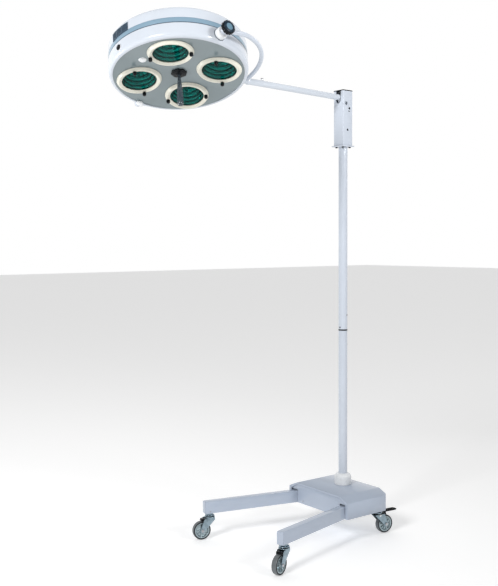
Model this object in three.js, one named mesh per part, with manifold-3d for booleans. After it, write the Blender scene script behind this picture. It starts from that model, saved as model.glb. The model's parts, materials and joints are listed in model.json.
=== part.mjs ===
// Mobile surgical light with four reflectors: a counterweighted base on four casters, a two-piece
// post, a spring-balanced arm, a half-ring yoke and a round lamp head.
// Millimetres, +Z up, floor at Z = 0. The legs and the arm point along +X.

import * as THREE from 'three';
import { ConvexGeometry } from 'three/addons/geometries/ConvexGeometry.js';
import { mergeVertices } from 'three/addons/utils/BufferGeometryUtils.js';
import Module from 'manifold-3d';

const wasm = await Module();
wasm.setup();

// ---------------------------------------------------------------- driving dimensions

const GAP = 0.3; // between pieces that touch
const RAD = Math.PI / 180;

// The origin is on the floor under the middle of the outline; the post stands behind it.
const POST_X = -456;
const POST_Y = -32;

const BASE = {
  front: 143, rear: -80, halfWidth: 181, bottom: 105, top: 190,
  chamferRun: 45, chamferDrop: 20, corner: 8, sheet: 1.5,
};
const LEG = { width: 30, height: 50, wall: 2, tipX: 541, tipY: 246.5, rootX: -43.8, rootY: 104.4 };
const GLAND = { y: 60, z: 135 };
const COLLAR = { radius: 35.5, height: 48, shoulder: 9 };
const POST = { radius: 18.5, wall: 2, foot: 161, joint: 840, top: 1600 };
const CASTER = { trail: 36, wheelRadius: 37.5, rim: 31.5, tyreWidth: 24, forkTop: 104.6 };
const BRACKET = {
  half: 27.3, wall: 3, bottom: 1605.3, top: 1827, slot: 27, slotFloor: 1777,
  flangeHalf: 33.5, flangeLow: 1600.3, seat: 1750,
};
const SPRING = { x: -10, low: 1644.4, high: 1747.6, meanRadius: 7.8, wire: 1.6, turns: 7 };
const ARM = {
  pivotX: 10, pivotZ: 1776.5, rise: 25, reach: 515, radius: 12, wall: 2, bore: 4.3, studFromEnd: 85,
};
const YOKE = {
  half: 286, straight: 16, overrun: 10, tube: 8, eye: 12, bore: 5.4,
  inset: 10, insetStart: 36, insetRun: 70,
};
const EYE_IN = YOKE.half - YOKE.inset - YOKE.tube; // the eyes' two faces along the tilt axis
const EYE_OUT = YOKE.half - YOKE.inset + YOKE.tube;
// The head's heights are from a level that lies a little below its tilt axis.
const HEAD = {
  drop: 6.2, radius: 246.5, seam: 29.4, edge: 96, lip: -22.3, lipRadius: 235.5, wall: 2, corner: 16,
};
const SWITCH = { radius: 10.2, height: 4, around: 1.8 * RAD };
const LAMP = { orbit: 144, plane: -16, tilt: 4 * RAD, opening: 62, base: 80, height: 12 };

// How the joints stand at rest.
const REST = { swivel: 2.6 * RAD, pitch: 1.6 * RAD, roll: 18.6 * RAD, tilt: 9 * RAD };

// ---------------------------------------------------------------- materials

function paint(color, roughness, metalness) {
  return new THREE.MeshStandardMaterial({ color, roughness, metalness });
}

const white = paint(0xdfe6ee, 0.35, 0.1);
const paleGrey = paint(0xb9c5d2, 0.35, 0.2);
const plasticWhite = paint(0xeef1f3, 0.3, 0);
const ivory = paint(0xe9e6d3, 0.4, 0);
const black = paint(0x14161a, 0.45, 0);
const zinc = paint(0xa9adb0, 0.3, 0.9);
const steel = paint(0x8d9194, 0.4, 0.9);
const iron = paint(0x3c3f42, 0.7, 0.6);
const rubber = paint(0x202124, 0.8, 0);
const greyPlastic = paint(0x6c7277, 0.5, 0);
const mirror = paint(0xd6dadd, 0.08, 1);
const tealGlass = paint(0x0b5f58, 0.05, 0);
const clearPlastic = paint(0x9aa0a6, 0.15, 0);

// ---------------------------------------------------------------- shape helpers

function welded(geometry) {
  const bare = geometry.clone();
  bare.deleteAttribute('normal');
  bare.deleteAttribute('uv');
  return mergeVertices(bare, 1e-4);
}

// A closed mesh as a manifold solid, without the slivers where a lathe profile meets its axis.
function solid(geometry) {
  const merged = welded(geometry);
  const index = Array.from(merged.index.array);
  const kept = [];
  for (let i = 0; i < index.length; i += 3) {
    const [a, b, c] = index.slice(i, i + 3);
    if (a !== b && b !== c && a !== c) kept.push(a, b, c);
  }
  const vertProperties = new Float32Array(merged.attributes.position.array);
  return new wasm.Manifold(
    new wasm.Mesh({ numProp: 3, vertProperties, triVerts: new Uint32Array(kept) }),
  );
}

function surface(manifold) {
  const mesh = manifold.getMesh();
  const geometry = new THREE.BufferGeometry();
  geometry.setAttribute('position', new THREE.BufferAttribute(mesh.vertProperties, 3));
  geometry.setIndex(new THREE.BufferAttribute(mesh.triVerts, 1));
  geometry.computeVertexNormals();
  return geometry;
}

function join(...geometries) {
  return surface(geometries.map(solid).reduce((sum, piece) => sum.add(piece)));
}

function cut(geometry, ...tools) {
  return surface(tools.map(solid).reduce((rest, tool) => rest.subtract(tool), solid(geometry)));
}

// A box from its low corner to its high corner.
function box(low, high) {
  const size = high.map((value, i) => value - low[i]);
  const middle = high.map((value, i) => (value + low[i]) / 2);
  return new THREE.BoxGeometry(...size).translate(...middle);
}

// A closed profile of [radius, height] points turned about Z. On the outer side it runs upwards.
function turned(profile, segments) {
  const points = profile.map(([radius, height]) => new THREE.Vector2(radius, height));
  const first = profile[0];
  const last = profile[profile.length - 1];
  if (first[0] > 0 || last[0] > 0) points.push(points[0].clone());
  return new THREE.LatheGeometry(points, segments).rotateX(Math.PI / 2);
}

function disc(radius, low, high, segments) {
  return turned([[0, low], [radius, low], [radius, high], [0, high]], segments);
}

function pipe(outer, inner, low, high, segments) {
  return turned([[inner, low], [outer, low], [outer, high], [inner, high]], segments);
}

// Turns something made about Z so that it lies along Y.
function alongY(geometry) {
  return geometry.rotateX(-Math.PI / 2);
}

// An outline of points, extruded upwards.
function plate(outline, low, high) {
  const shape = new THREE.Shape(outline.map(([x, y]) => new THREE.Vector2(x, y)));
  const options = { depth: high - low, bevelEnabled: false };
  return new THREE.ExtrudeGeometry(shape, options).translate(0, 0, low);
}

// An outline in X and Z, extruded along Y.
function sidePlate(outline, low, high) {
  return plate(outline, -high, -low).rotateX(Math.PI / 2);
}

// Rounded corner points of a profile: an arc about [x, y] between two angles in degrees.
function arc(x, y, radius, from, to, steps) {
  return Array.from({ length: steps + 1 }, (_, i) => {
    const angle = (from + ((to - from) * i) / steps) * RAD;
    return [x + radius * Math.cos(angle), y + radius * Math.sin(angle)];
  });
}

function add(group, name, geometry, material) {
  const mesh = new THREE.Mesh(geometry, material);
  mesh.name = name;
  group.add(mesh);
  return mesh;
}

function place(parent, position = [0, 0, 0]) {
  const group = new THREE.Group();
  group.position.set(...position);
  parent.add(group);
  return group;
}

// ---------------------------------------------------------------- base

// The hood's outer block, shrunk by an offset on every side but the bottom and the front.
function hoodBlock(offset, bottom, front) {
  const side = BASE.halfWidth - offset;
  const rear = BASE.rear + offset;
  const shoulder = BASE.top - BASE.chamferDrop - offset * 0.4;
  const inner = BASE.halfWidth - BASE.chamferRun - offset * 0.8;
  const top = BASE.top - offset;
  const { corner } = BASE;
  const cornerRise = (corner * BASE.chamferDrop) / BASE.chamferRun;
  const points = [];
  for (const sign of [-1, 1]) {
    for (const low of [bottom, shoulder]) {
      points.push(new THREE.Vector3(front, sign * side, low));
      points.push(new THREE.Vector3(rear + corner, sign * side, low));
    }
    points.push(new THREE.Vector3(rear, sign * (side - corner), bottom));
    points.push(new THREE.Vector3(rear, sign * (side - corner), shoulder + cornerRise));
    points.push(new THREE.Vector3(rear, sign * inner, top));
    points.push(new THREE.Vector3(front, sign * inner, top));
  }
  return new ConvexGeometry(points);
}

function baseCover() {
  const hollow = hoodBlock(BASE.sheet, BASE.bottom - 10, BASE.front + 10);
  const postHole = disc(POST.radius + 0.6, BASE.top - 20, BASE.top + 5, 32);
  const glandHole = disc(8, -10, 10, 16).rotateY(Math.PI / 2).translate(BASE.rear, GLAND.y, GLAND.z);
  return cut(hoodBlock(0, BASE.bottom, BASE.front), hollow, postHole, glandHole);
}

// The front plate sits just inside the hood and leaves the two corners free for the legs.
function frontPlate() {
  const inner = legInnerY(BASE.front - 5) - 1.5;
  const reach = BASE.halfWidth - BASE.sheet - GAP * 2;
  const legTop = BASE.bottom + LEG.height + 2.5;
  const shoulder = BASE.top - BASE.chamferDrop - 1.5;
  const flat = BASE.halfWidth - BASE.chamferRun - 2;
  const half = [[inner, BASE.bottom + 1], [inner, legTop], [reach, legTop], [reach, shoulder],
    [flat, BASE.top - BASE.sheet - GAP]];
  const mirrored = half.map(([y, z]) => [-y, z]).reverse();
  const depth = plate([...half, ...mirrored], 0, 2);
  return depth.rotateX(Math.PI / 2).rotateZ(Math.PI / 2).translate(BASE.front - 5, 0, 0);
}

const legDirection = Math.atan2(LEG.tipY - LEG.rootY, LEG.tipX - LEG.rootX);
const legLength = Math.hypot(LEG.tipX - LEG.rootX, LEG.tipY - LEG.rootY);

// A rectangular tube of the given length along +X from the origin, its underside at the base's.
function rectangularTube(length) {
  const half = LEG.width / 2;
  const top = BASE.bottom + LEG.height;
  const outer = box([0, -half, BASE.bottom], [length, half, top]);
  const wall = LEG.wall;
  const bore = box([-5, wall - half, BASE.bottom + wall], [length + 5, half - wall, top - wall]);
  return cut(outer, bore);
}

function leg(side) {
  const tube = rectangularTube(legLength).rotateZ(side * legDirection);
  return tube.translate(LEG.rootX, side * LEG.rootY, 0);
}

function rearBeam() {
  const half = 165;
  const middle = BASE.rear + BASE.sheet + 0.7 + LEG.width / 2;
  const tube = rectangularTube(2 * half).rotateZ(Math.PI / 2).translate(middle, -half, 0);
  const cableHole = disc(9, -10, 10, 16).rotateY(Math.PI / 2);
  return cut(tube, cableHole.translate(BASE.rear, GLAND.y, GLAND.z));
}

function legInnerY(x) {
  const along = (x - LEG.rootX) / (LEG.tipX - LEG.rootX);
  return LEG.rootY + along * (LEG.tipY - LEG.rootY) - LEG.width / 2 / Math.cos(legDirection);
}

// Between the legs, level with their underside.
function bottomPlate() {
  const rear = BASE.rear + 34;
  const front = BASE.front - 6;
  const corners = [[rear, legInnerY(rear) - 1], [front, legInnerY(front) - 1]];
  const outline = [...corners.map(([x, y]) => [x, -y]), ...corners.reverse()];
  return plate(outline, BASE.bottom, BASE.bottom + 1.5);
}

// The plate on the legs with the sleeve that holds the post.
function postSocket() {
  const low = BASE.bottom + LEG.height + GAP;
  const sheet = box([BASE.rear + 4, -148, low], [120, 148, low + 5]);
  const sleeve = pipe(26, POST.radius + GAP, low + 4, BASE.top - BASE.sheet - 1, 32);
  return join(sheet, sleeve);
}

function postCollar() {
  const { radius, height, shoulder } = COLLAR;
  const low = BASE.top + GAP;
  const bore = POST.radius + GAP;
  const profile = [[bore, low], [radius, low], [radius, low + height - shoulder - 3]];
  profile.push(...arc(radius - shoulder, low + height - shoulder - 1, shoulder, 10, 80, 3));
  profile.push([bore, low + height]);
  return turned(profile, 28);
}

function postJoint() {
  const ring = POST.joint + GAP;
  const inner = POST.radius - POST.wall - GAP;
  const profile = [[12, ring - 50], [inner, ring - 50], [inner, ring], [19.1, ring],
    [19.1, ring + 5], [inner, ring + 5], [inner, ring + 55], [12, ring + 55]];
  return turned(profile, 28);
}

// The mains gland: its thread goes through the hood's rear wall.
function cableGland() {
  const profile = [[3.5, -3], [7.5, -3], [7.5, 2.2], [11, 2.2], [11, 8], [7, 20], [3.5, 20]];
  const gland = turned(profile, 20).rotateY(-Math.PI / 2);
  return gland.translate(BASE.rear + BASE.sheet, GLAND.y, GLAND.z);
}

function buildBase(parent) {
  const group = place(parent);
  const inner = POST.radius - POST.wall;
  const upper = POST.joint + GAP * 2 + 5;
  add(group, 'base_cover', baseCover(), white);
  add(group, 'front_plate', frontPlate(), white);
  add(group, 'bottom_plate', bottomPlate(), paleGrey);
  add(group, 'counterweight', box([-45, -82, 107], [66, 82, 154.5]), iron);
  add(group, 'transformer', box([72, -46, 107], [130, 46, 152]), steel);
  add(group, 'leg_left', leg(1), paleGrey);
  add(group, 'leg_right', leg(-1), paleGrey);
  add(group, 'rear_beam', rearBeam(), paleGrey);
  add(group, 'post_socket', postSocket(), steel);
  add(group, 'post_collar', postCollar(), plasticWhite);
  add(group, 'post_lower', pipe(POST.radius, inner, POST.foot, POST.joint, 28), white);
  add(group, 'post_joint', postJoint(), black);
  add(group, 'post_upper', pipe(POST.radius, inner, upper, POST.top, 28), white);
  add(group, 'cable_gland', cableGland(), black);
}

// ---------------------------------------------------------------- casters

// Swivel head and stem, two cheeks and the riveted axle. The wheel trails along +X.
function fork() {
  const head = turned([[0, 86], [21, 86], [21, 95], [15, 98], [12, 98],
    [12, CASTER.forkTop], [0, CASTER.forkTop]], 18);
  const axleZ = CASTER.wheelRadius;
  const outline = [[-18, 87.5], [-18, 78], ...arc(CASTER.trail, axleZ, 9, 200, 380, 4), [31, 74],
    [24, 87.5]];
  const cheeks = [-1, 1].map((side) => {
    const near = side * 13.5;
    const far = side * 16;
    return sidePlate(outline, Math.min(near, far), Math.max(near, far));
  });
  const axle = alongY(disc(4, -18, 18, 12)).translate(CASTER.trail, 0, axleZ);
  return join(head, ...cheeks, axle);
}

function wheel() {
  const half = CASTER.tyreWidth / 2;
  const { rim } = CASTER;
  const profile = [[4.3, -half], [9, -half], [10, -4], [rim - 5, -4], [rim - 4, 2 - half],
    [rim, 2 - half], [rim, half - 2], [rim - 4, half - 2], [rim - 5, 4], [10, 4], [9, half], [4.3, half]];
  return alongY(turned(profile, 16));
}

function tyre() {
  const half = CASTER.tyreWidth / 2;
  const facets = 24;
  const tread = CASTER.wheelRadius / Math.cos(Math.PI / facets);
  const inner = CASTER.rim + 0.8;
  const profile = [[inner, 2 - half], [tread - 3, -half], [tread, -half + 4], [tread, half - 4],
    [tread - 3, half], [inner, half - 2]];
  return alongY(turned(profile, facets).rotateZ(Math.PI / facets));
}

// A flat pedal over the wheel, hinged on the swivel head.
function brakePedal() {
  const outline = [[24, 90], [24, 95], [86, 97], [98, 95], [98, 92], [86, 93.5], [54, 91]];
  return sidePlate(outline, -14, 14);
}

const CASTERS = [
  { tag: 'front_left', x: 517, y: 241, heading: 20, braked: false },
  { tag: 'front_right', x: 517, y: -241, heading: -14, braked: false },
  { tag: 'rear_left', x: -64, y: 138.6, heading: 173, braked: true },
  { tag: 'rear_right', x: -64, y: -138.6, heading: -173, braked: true },
];

function buildCasters(parent) {
  for (const { tag, x, y, heading, braked } of CASTERS) {
    const swivel = place(parent, [x, y, 0]);
    swivel.rotation.z = heading * RAD;
    add(swivel, `fork_${tag}`, fork(), zinc);
    const rolling = place(swivel, [CASTER.trail, 0, CASTER.wheelRadius]);
    add(rolling, `wheel_${tag}`, wheel(), greyPlastic);
    add(rolling, `tyre_${tag}`, tyre(), rubber);
    if (braked) add(swivel, `brake_${tag}`, brakePedal(), black);
  }
}

// ---------------------------------------------------------------- bracket and balance spring

function bracketHousing() {
  const { half, wall, bottom, top, slot, slotFloor, seat } = BRACKET;
  const inner = half - wall;
  const outer = box([-half, -half, bottom], [half, half, top]);
  const above = box([-inner, -inner, seat + 2], [inner, inner, top + 5]);
  const below = box([-inner, -inner, bottom - 5], [inner, inner, seat - 2]);
  const rodHole = disc(3.7, seat - 10, seat + 10, 16).translate(SPRING.x, 0, 0);
  const centre = slotFloor + slot / 2;
  const opening = box([half - wall - 1, -slot / 2, centre], [half + 1, slot / 2, top + 5]);
  const round = disc(slot / 2, half - wall - 1, half + 1, 24).rotateY(Math.PI / 2);
  const pinHole = alongY(disc(ARM.bore, -40, 40, 16)).translate(ARM.pivotX, 0, ARM.pivotZ);
  return cut(outer, above, below, rodHole, opening, round.translate(0, 0, centre), pinHole);
}

function bracketFlange() {
  const { flangeHalf, flangeLow, bottom } = BRACKET;
  const sheet = box([-flangeHalf, -flangeHalf, flangeLow], [flangeHalf, flangeHalf, bottom - GAP]);
  const stub = pipe(POST.radius - POST.wall - 0.4, 12, flangeLow - 95, flangeLow + 1, 24);
  const wireway = disc(12, 1590, 1610, 24);
  return cut(join(sheet, stub), wireway);
}

function bracketCap() {
  const { half, top } = BRACKET;
  const low = top + GAP;
  const base = box([-half - 0.8, -half - 0.8, low], [half + 0.8, half + 0.8, low + 2.5]);
  const crown = box([-half + 1, -half + 1, low + 2], [half - 1, half - 1, low + 4]);
  return join(base, crown);
}

function pivotPin() {
  const face = BRACKET.half + GAP;
  const profile = [[0, -face - 3], [5, -face - 3], [6.5, -face - 1.5], [6.5, -face], [4, -face],
    [4, face], [6.5, face], [6.5, face + 1.5], [5, face + 3], [0, face + 3]];
  return alongY(turned(profile, 16)).translate(ARM.pivotX, 0, ARM.pivotZ);
}

class Helix extends THREE.Curve {
  getPoint(t) {
    const angle = 2 * Math.PI * SPRING.turns * t;
    const low = SPRING.low + SPRING.wire;
    const rise = SPRING.high - SPRING.low - 2 * SPRING.wire;
    const radius = SPRING.meanRadius;
    return new THREE.Vector3(radius * Math.cos(angle), radius * Math.sin(angle), low + rise * t);
  }
}

function balanceSpring() {
  const corners = arc(0, 0, SPRING.wire, 0, 270, 3);
  const section = new THREE.Shape(corners.map(([x, y]) => new THREE.Vector2(x, y)));
  const options = { steps: SPRING.turns * 9, extrudePath: new Helix(), bevelEnabled: false };
  return new THREE.ExtrudeGeometry(section, options).translate(SPRING.x, 0, 0);
}

// Hangs from the arm's lever; its foot squeezes the spring when the arm goes down.
function springRod() {
  const foot = SPRING.low - 0.6;
  const top = ARM.pivotZ - 8;
  const rod = turned([[0, foot - 4.4], [11, foot - 4.4], [11, foot], [3, foot], [3, top], [0, top]], 16);
  const block = box([-4, -4.8, top - 4], [4, 4.8, ARM.pivotZ + 6]);
  const pin = alongY(disc(2.5, -10.4, 10.4, 12)).translate(0, 0, ARM.pivotZ);
  return join(rod, block, pin).translate(SPRING.x, 0, 0);
}

function buildBracket(parent) {
  const group = place(parent);
  group.rotation.z = REST.swivel;
  add(group, 'bracket_housing', bracketHousing(), white);
  add(group, 'bracket_flange', bracketFlange(), white);
  add(group, 'bracket_cap', bracketCap(), black);
  add(group, 'pivot_pin', pivotPin(), steel);
  add(group, 'balance_spring', balanceSpring(), steel);
  add(group, 'spring_rod', springRod(), steel);
  return group;
}

// ---------------------------------------------------------------- arm and yoke

// Made about the arm's pivot; the tube's axis runs a little above it.
function armPiece() {
  const side = [[-26, -8], [5, -9], [9, -3], [9, 36], [-4, 36], [-10, 18], [-26, 8]];
  const knuckle = sidePlate(side, -11, 11);
  const tube = disc(ARM.radius, 4, ARM.reach - 20, 24).rotateY(Math.PI / 2).translate(0, 0, ARM.rise);
  const bore = disc(ARM.radius - ARM.wall, 30, ARM.reach, 24);
  bore.rotateY(Math.PI / 2).translate(0, 0, ARM.rise);
  const pinHole = alongY(disc(ARM.bore, -20, 20, 16));
  const leverGap = box([-30, -5.4, -20], [-12, 5.4, 20]);
  const leverSlot = box([-24.6, -20, -3.8], [-15.4, 20, 3.8]);
  return cut(join(knuckle, tube), bore, pinHole, leverGap, leverSlot);
}

// A half ring with short straight ends, which draw in a little to meet the head's bosses.
class YokePath extends THREE.Curve {
  getPoint(t) {
    const { half, straight, overrun, inset, insetStart, insetRun } = YOKE;
    const end = straight + overrun;
    const length = 2 * end + Math.PI * half;
    const s = t * length;
    const fromEnd = Math.min(s, length - s) - insetStart;
    const eased = Math.min(Math.max(fromEnd / insetRun, 0), 1);
    const pull = (inset * (1 + Math.cos(Math.PI * eased))) / 2;
    if (s < end) return new THREE.Vector3(overrun - s, half - pull, 0);
    if (s > length - end) return new THREE.Vector3(s - length + overrun, pull - half, 0);
    const angle = Math.PI / 2 + (s - end) / half;
    const y = half * Math.sin(angle);
    return new THREE.Vector3(half * Math.cos(angle) - straight, y - Math.sign(y) * pull, 0);
  }
}

function yokeTube(radius, steps, sides) {
  const round = arc(0, 0, radius, 0, 360 - 360 / sides, sides - 1);
  const section = new THREE.Shape(round.map(([x, y]) => new THREE.Vector2(x, y)));
  const options = { steps, extrudePath: new YokePath(), bevelEnabled: false };
  return new THREE.ExtrudeGeometry(section, options);
}

// Made about the head's pivot axis, which is Y. The middle of the ring is at -X.
function yoke() {
  const { tube, eye } = YOKE;
  const eyes = [-1, 1].map((side) => {
    const low = side > 0 ? EYE_IN : -EYE_OUT;
    return alongY(disc(eye, -low - 2 * tube, -low, 24));
  });
  const hole = alongY(disc(YOKE.bore, -320, 320, 16));
  return cut(join(yokeTube(tube, 40, 8), ...eyes), hole);
}

// A turned end piece: its shank runs in the arm's tube and its saddle carries the ring.
function yokeSocket() {
  const middle = -(YOKE.half + YOKE.straight);
  const shank = ARM.radius - ARM.wall - GAP;
  const profile = [[0, -46], [shank, -46], [shank, -19.6], [13.5, -19.6], [13.5, -12], [11, -6],
    [11, 5], [0, 5]];
  const body = turned(profile, 24).rotateY(Math.PI / 2).translate(middle, 0, 0);
  return cut(body, yokeTube(YOKE.tube + GAP, 40, 8));
}

function armStud() {
  const low = ARM.rise + ARM.radius;
  const profile = [[0, low - 4], [3, low - 4], [3, low + 0.4], [6, low + 0.4], [6, low + 7],
    [4, low + 9], [0, low + 9]];
  return turned(profile, 16);
}

function buildArm(bracket) {
  const group = place(bracket, [ARM.pivotX, 0, ARM.pivotZ]);
  group.rotation.y = -REST.pitch;
  const studX = ARM.reach - ARM.studFromEnd;
  const tapped = disc(3.3, ARM.rise + 5, ARM.rise + 17, 12).translate(studX, 0, 0);
  add(group, 'arm', cut(armPiece(), tapped), white);
  add(group, 'arm_stud', armStud().translate(studX, 0, 0), plasticWhite);
  return group;
}

function buildYoke(arm) {
  const group = place(arm, [ARM.reach + YOKE.half + YOKE.straight, 0, ARM.rise]);
  group.rotation.x = REST.roll;
  add(group, 'yoke_socket', yokeSocket(), white);
  add(group, 'yoke', yoke(), white);
  return group;
}

// ---------------------------------------------------------------- lamp head

const headRound = 48;

function topCover() {
  const { radius, seam, edge, wall, corner } = HEAD;
  const outer = [[radius, seam + GAP], ...arc(radius - corner, edge - corner, corner, 0, 80, 5),
    [130, edge + 9], [0, edge + 13]];
  const inner = [[0, edge + 13 - wall], [130, edge + 9 - wall],
    ...arc(radius - corner, edge - corner, corner - wall, 80, 0, 2), [radius - wall, seam + GAP]];
  return turned([...outer, ...inner], headRound);
}

function lowerRing() {
  const { radius, seam, lip, lipRadius, wall } = HEAD;
  const outer = [[lipRadius, lip], [radius - 6, lip + 4], [radius - 1.5, lip + 9], [radius, lip + 14],
    [radius, seam]];
  const inner = [[radius - wall, seam], [radius - wall, lip + 14], [radius - 8, lip + 6.5],
    [lipRadius - 2, lip + 3], [lipRadius - 2, lip + 12], [lipRadius - 4, lip + 12], [lipRadius - 4, lip]];
  return turned([...outer, ...inner], headRound);
}

const LAMPS = [
  { tag: 'front_left', angle: 45 * RAD },
  { tag: 'rear_left', angle: 135 * RAD },
  { tag: 'rear_right', angle: 225 * RAD },
  { tag: 'front_right', angle: 315 * RAD },
];

// Everything under the four tilted facet planes, raised by an offset, within a radius.
function underFacets(offset, radius, low) {
  let body = solid(disc(radius, low, 20, headRound));
  for (const { angle } of LAMPS) {
    const block = box([-400, -400, -300], [400, 400, offset]);
    block.rotateY(LAMP.tilt).rotateZ(angle);
    block.translate(LAMP.orbit * Math.cos(angle), LAMP.orbit * Math.sin(angle), LAMP.plane);
    body = body.intersect(solid(block));
  }
  return body;
}

function reflectorCover() {
  const radius = HEAD.lipRadius - 4 - GAP;
  let body = underFacets(HEAD.wall, radius, -60).subtract(underFacets(0, radius + 20, -80));
  for (const lamp of LAMPS) {
    const hole = disc(LAMP.opening + 2.5, -20, 20, 24);
    hole.rotateY(LAMP.tilt + Math.PI).rotateZ(lamp.angle);
    const { x, y, z } = lampPosition(lamp);
    body = body.subtract(solid(hole.translate(x, y, z)));
  }
  return surface(body.subtract(solid(disc(12, -30, 10, 20))));
}

function lampPosition({ angle }) {
  return new THREE.Vector3(LAMP.orbit * Math.cos(angle), LAMP.orbit * Math.sin(angle), LAMP.plane);
}

// Lamp pieces are made with +Z out of the head, from the cover's lower face.
function bezel() {
  const { opening, base, height } = LAMP;
  const profile = [[opening, GAP], [base, GAP], [base - 1, 3], [base - 4, height - 3],
    [base - 10, height], [opening, height]];
  return turned(profile, 28);
}

function filterGlass() {
  return disc(LAMP.opening - 0.8, 3, 6, 28);
}

function reflector() {
  const mouth = LAMP.opening - 1;
  const depth = 62;
  const bowl = (shrink, steps) => Array.from({ length: steps + 1 }, (_, i) => {
    const t = i / steps;
    return [9 + (mouth - shrink - 9) * Math.sqrt(t), -depth * (1 - t)];
  });
  const outer = bowl(0, 4);
  const inner = bowl(1.5, 4).reverse().map(([r, z]) => [Math.max(r - 1, 7), z]);
  return turned([...outer, ...inner], 20);
}

function centreHub() {
  const low = -LAMP.plane - 10;
  const profile = [[0, low - 16], [10, low - 16], [10, low + 1.1], [28.5, low + 2.4],
    [28.5, low + 6], [25, low + 9], [7, low + 11], [7, low + 3], [0, low + 3]];
  return turned(profile, 24);
}

// A slim neck that widens to the grip, along the head's normal.
function handle() {
  const low = -LAMP.plane - 10;
  const profile = [[0, low + 4], [4.5, low + 4], [6, low + 6], [4.5, low + 12], [5, low + 30],
    [9, low + 60], [11, low + 106], [11, low + 127], [9.2, low + 132], [0, low + 134]];
  return turned(profile, 20);
}

function sideBoss(side) {
  const start = HEAD.radius - 8;
  const end = EYE_IN - GAP;
  const round = [[0, start], [20, start], [20, end - 3], [18, end], [0, end]];
  const spigot = side < 0 ? [disc(5, end - 2, EYE_OUT + 3, 16)] : [];
  const blank = join(turned(round, 24), ...spigot);
  const hole = disc(YOKE.bore, end - 22, end + 1, 16);
  const bored = side > 0 ? cut(blank, hole) : blank;
  bored.rotateX(-side * Math.PI / 2);
  return cut(bored, disc(HEAD.radius + GAP, -60, 60, headRound));
}

// A fluted clamp knob whose screw runs through the yoke's eye into the boss.
function tiltKnob() {
  const start = EYE_OUT + GAP;
  const flutes = 12;
  const outline = [];
  for (let i = 0; i < flutes * 4; i += 1) {
    const angle = (2 * Math.PI * i) / (flutes * 4);
    const radius = i % 4 === 0 ? 22.5 : 24;
    outline.push([radius * Math.cos(angle), radius * Math.sin(angle)]);
  }
  const body = plate(outline, start + 2, start + 21);
  const shoulder = disc(15, start, start + 3, 20);
  const screw = disc(5, start - 34, start + 1, 16);
  const face = disc(13, start + 19.5, start + 25, 24);
  return cut(join(body, shoulder, screw), face).rotateX(-Math.PI / 2);
}

// A slotted panel that follows the wall of the top cover at the front.
function ventGrille() {
  const low = 47.5;
  const high = 78;
  const from = -7.5;
  const to = 13.5;
  const margin = 5;
  const near = HEAD.radius + 0.8;
  const far = near + 1.5;
  const left = near * Math.sin(from * RAD) + margin;
  const right = near * Math.sin(to * RAD) - margin;
  const wallArc = (radius, a, b) => arc(0, 0, radius, a, b, 6);
  const panel = plate([...wallArc(far, from, to), ...wallArc(near, to, from)], low, high);
  const slots = [];
  for (let z = low + margin; z < high - margin; z += 6) {
    slots.push(box([200, left, z], [300, right, z + 2.5]));
  }
  return cut(panel, ...slots);
}

function headSwitch() {
  const cap = disc(SWITCH.radius, 0, 5, 24).rotateY(Math.PI / 2);
  return cap.translate(HEAD.radius + 0.9, 0, SWITCH.height).rotateZ(SWITCH.around);
}

function buildLamps(head) {
  for (const lamp of LAMPS) {
    const group = place(head, lampPosition(lamp).toArray());
    group.rotation.set(0, LAMP.tilt + Math.PI, lamp.angle, 'ZYX');
    add(group, `bezel_${lamp.tag}`, bezel(), ivory);
    add(group, `filter_${lamp.tag}`, filterGlass(), tealGlass);
    add(group, `reflector_${lamp.tag}`, reflector(), mirror);
  }
}

function buildHead(yokeGroup) {
  const tilting = place(yokeGroup);
  tilting.rotation.y = -REST.tilt;
  add(tilting, 'boss_left', sideBoss(1), plasticWhite);
  add(tilting, 'boss_right', sideBoss(-1), plasticWhite);
  const group = place(tilting, [0, 0, -HEAD.drop]);
  add(group, 'top_cover', topCover(), white);
  add(group, 'lower_ring', lowerRing(), white);
  add(group, 'reflector_cover', reflectorCover(), paleGrey);
  add(group, 'vent_grille', ventGrille(), greyPlastic);
  add(group, 'head_switch', headSwitch(), black);
  buildLamps(group);
  const below = place(group);
  below.rotation.x = Math.PI;
  add(below, 'centre_hub', centreHub(), black);
  add(below, 'handle', handle(), clearPlastic);
}

// ---------------------------------------------------------------- the whole light

const light = new THREE.Group();
const stand = place(light, [POST_X, POST_Y, 0]);
buildBase(stand);
buildCasters(stand);
const bracket = buildBracket(stand);
const arm = buildArm(bracket);
const yokeGroup = buildYoke(arm);
buildHead(yokeGroup);
add(yokeGroup, 'tilt_knob', tiltKnob(), black);

export default light;
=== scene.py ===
"""The looks of a mobile surgical light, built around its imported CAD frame."""

import json
from math import atan2, copysign, cos, exp, log, pi, radians, sin, sqrt, tan

import bmesh
import bpy
from mathutils import Matrix, Vector


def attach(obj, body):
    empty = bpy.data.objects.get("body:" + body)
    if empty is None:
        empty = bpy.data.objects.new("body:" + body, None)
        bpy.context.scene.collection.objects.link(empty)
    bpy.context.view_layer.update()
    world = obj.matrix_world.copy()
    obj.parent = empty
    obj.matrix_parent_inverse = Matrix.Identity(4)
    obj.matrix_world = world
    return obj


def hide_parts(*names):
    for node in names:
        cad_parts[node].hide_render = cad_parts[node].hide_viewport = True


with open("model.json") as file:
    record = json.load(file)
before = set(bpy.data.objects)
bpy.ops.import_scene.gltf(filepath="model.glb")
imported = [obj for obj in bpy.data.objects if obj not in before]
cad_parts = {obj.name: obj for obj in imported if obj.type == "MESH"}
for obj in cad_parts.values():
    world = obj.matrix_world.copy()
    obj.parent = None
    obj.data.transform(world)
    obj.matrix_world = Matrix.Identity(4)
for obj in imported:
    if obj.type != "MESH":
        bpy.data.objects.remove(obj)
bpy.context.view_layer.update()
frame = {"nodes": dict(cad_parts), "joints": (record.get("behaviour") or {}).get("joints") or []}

MM = 0.001
JOINTS = {joint["name"]: joint for joint in frame["joints"]}
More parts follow.
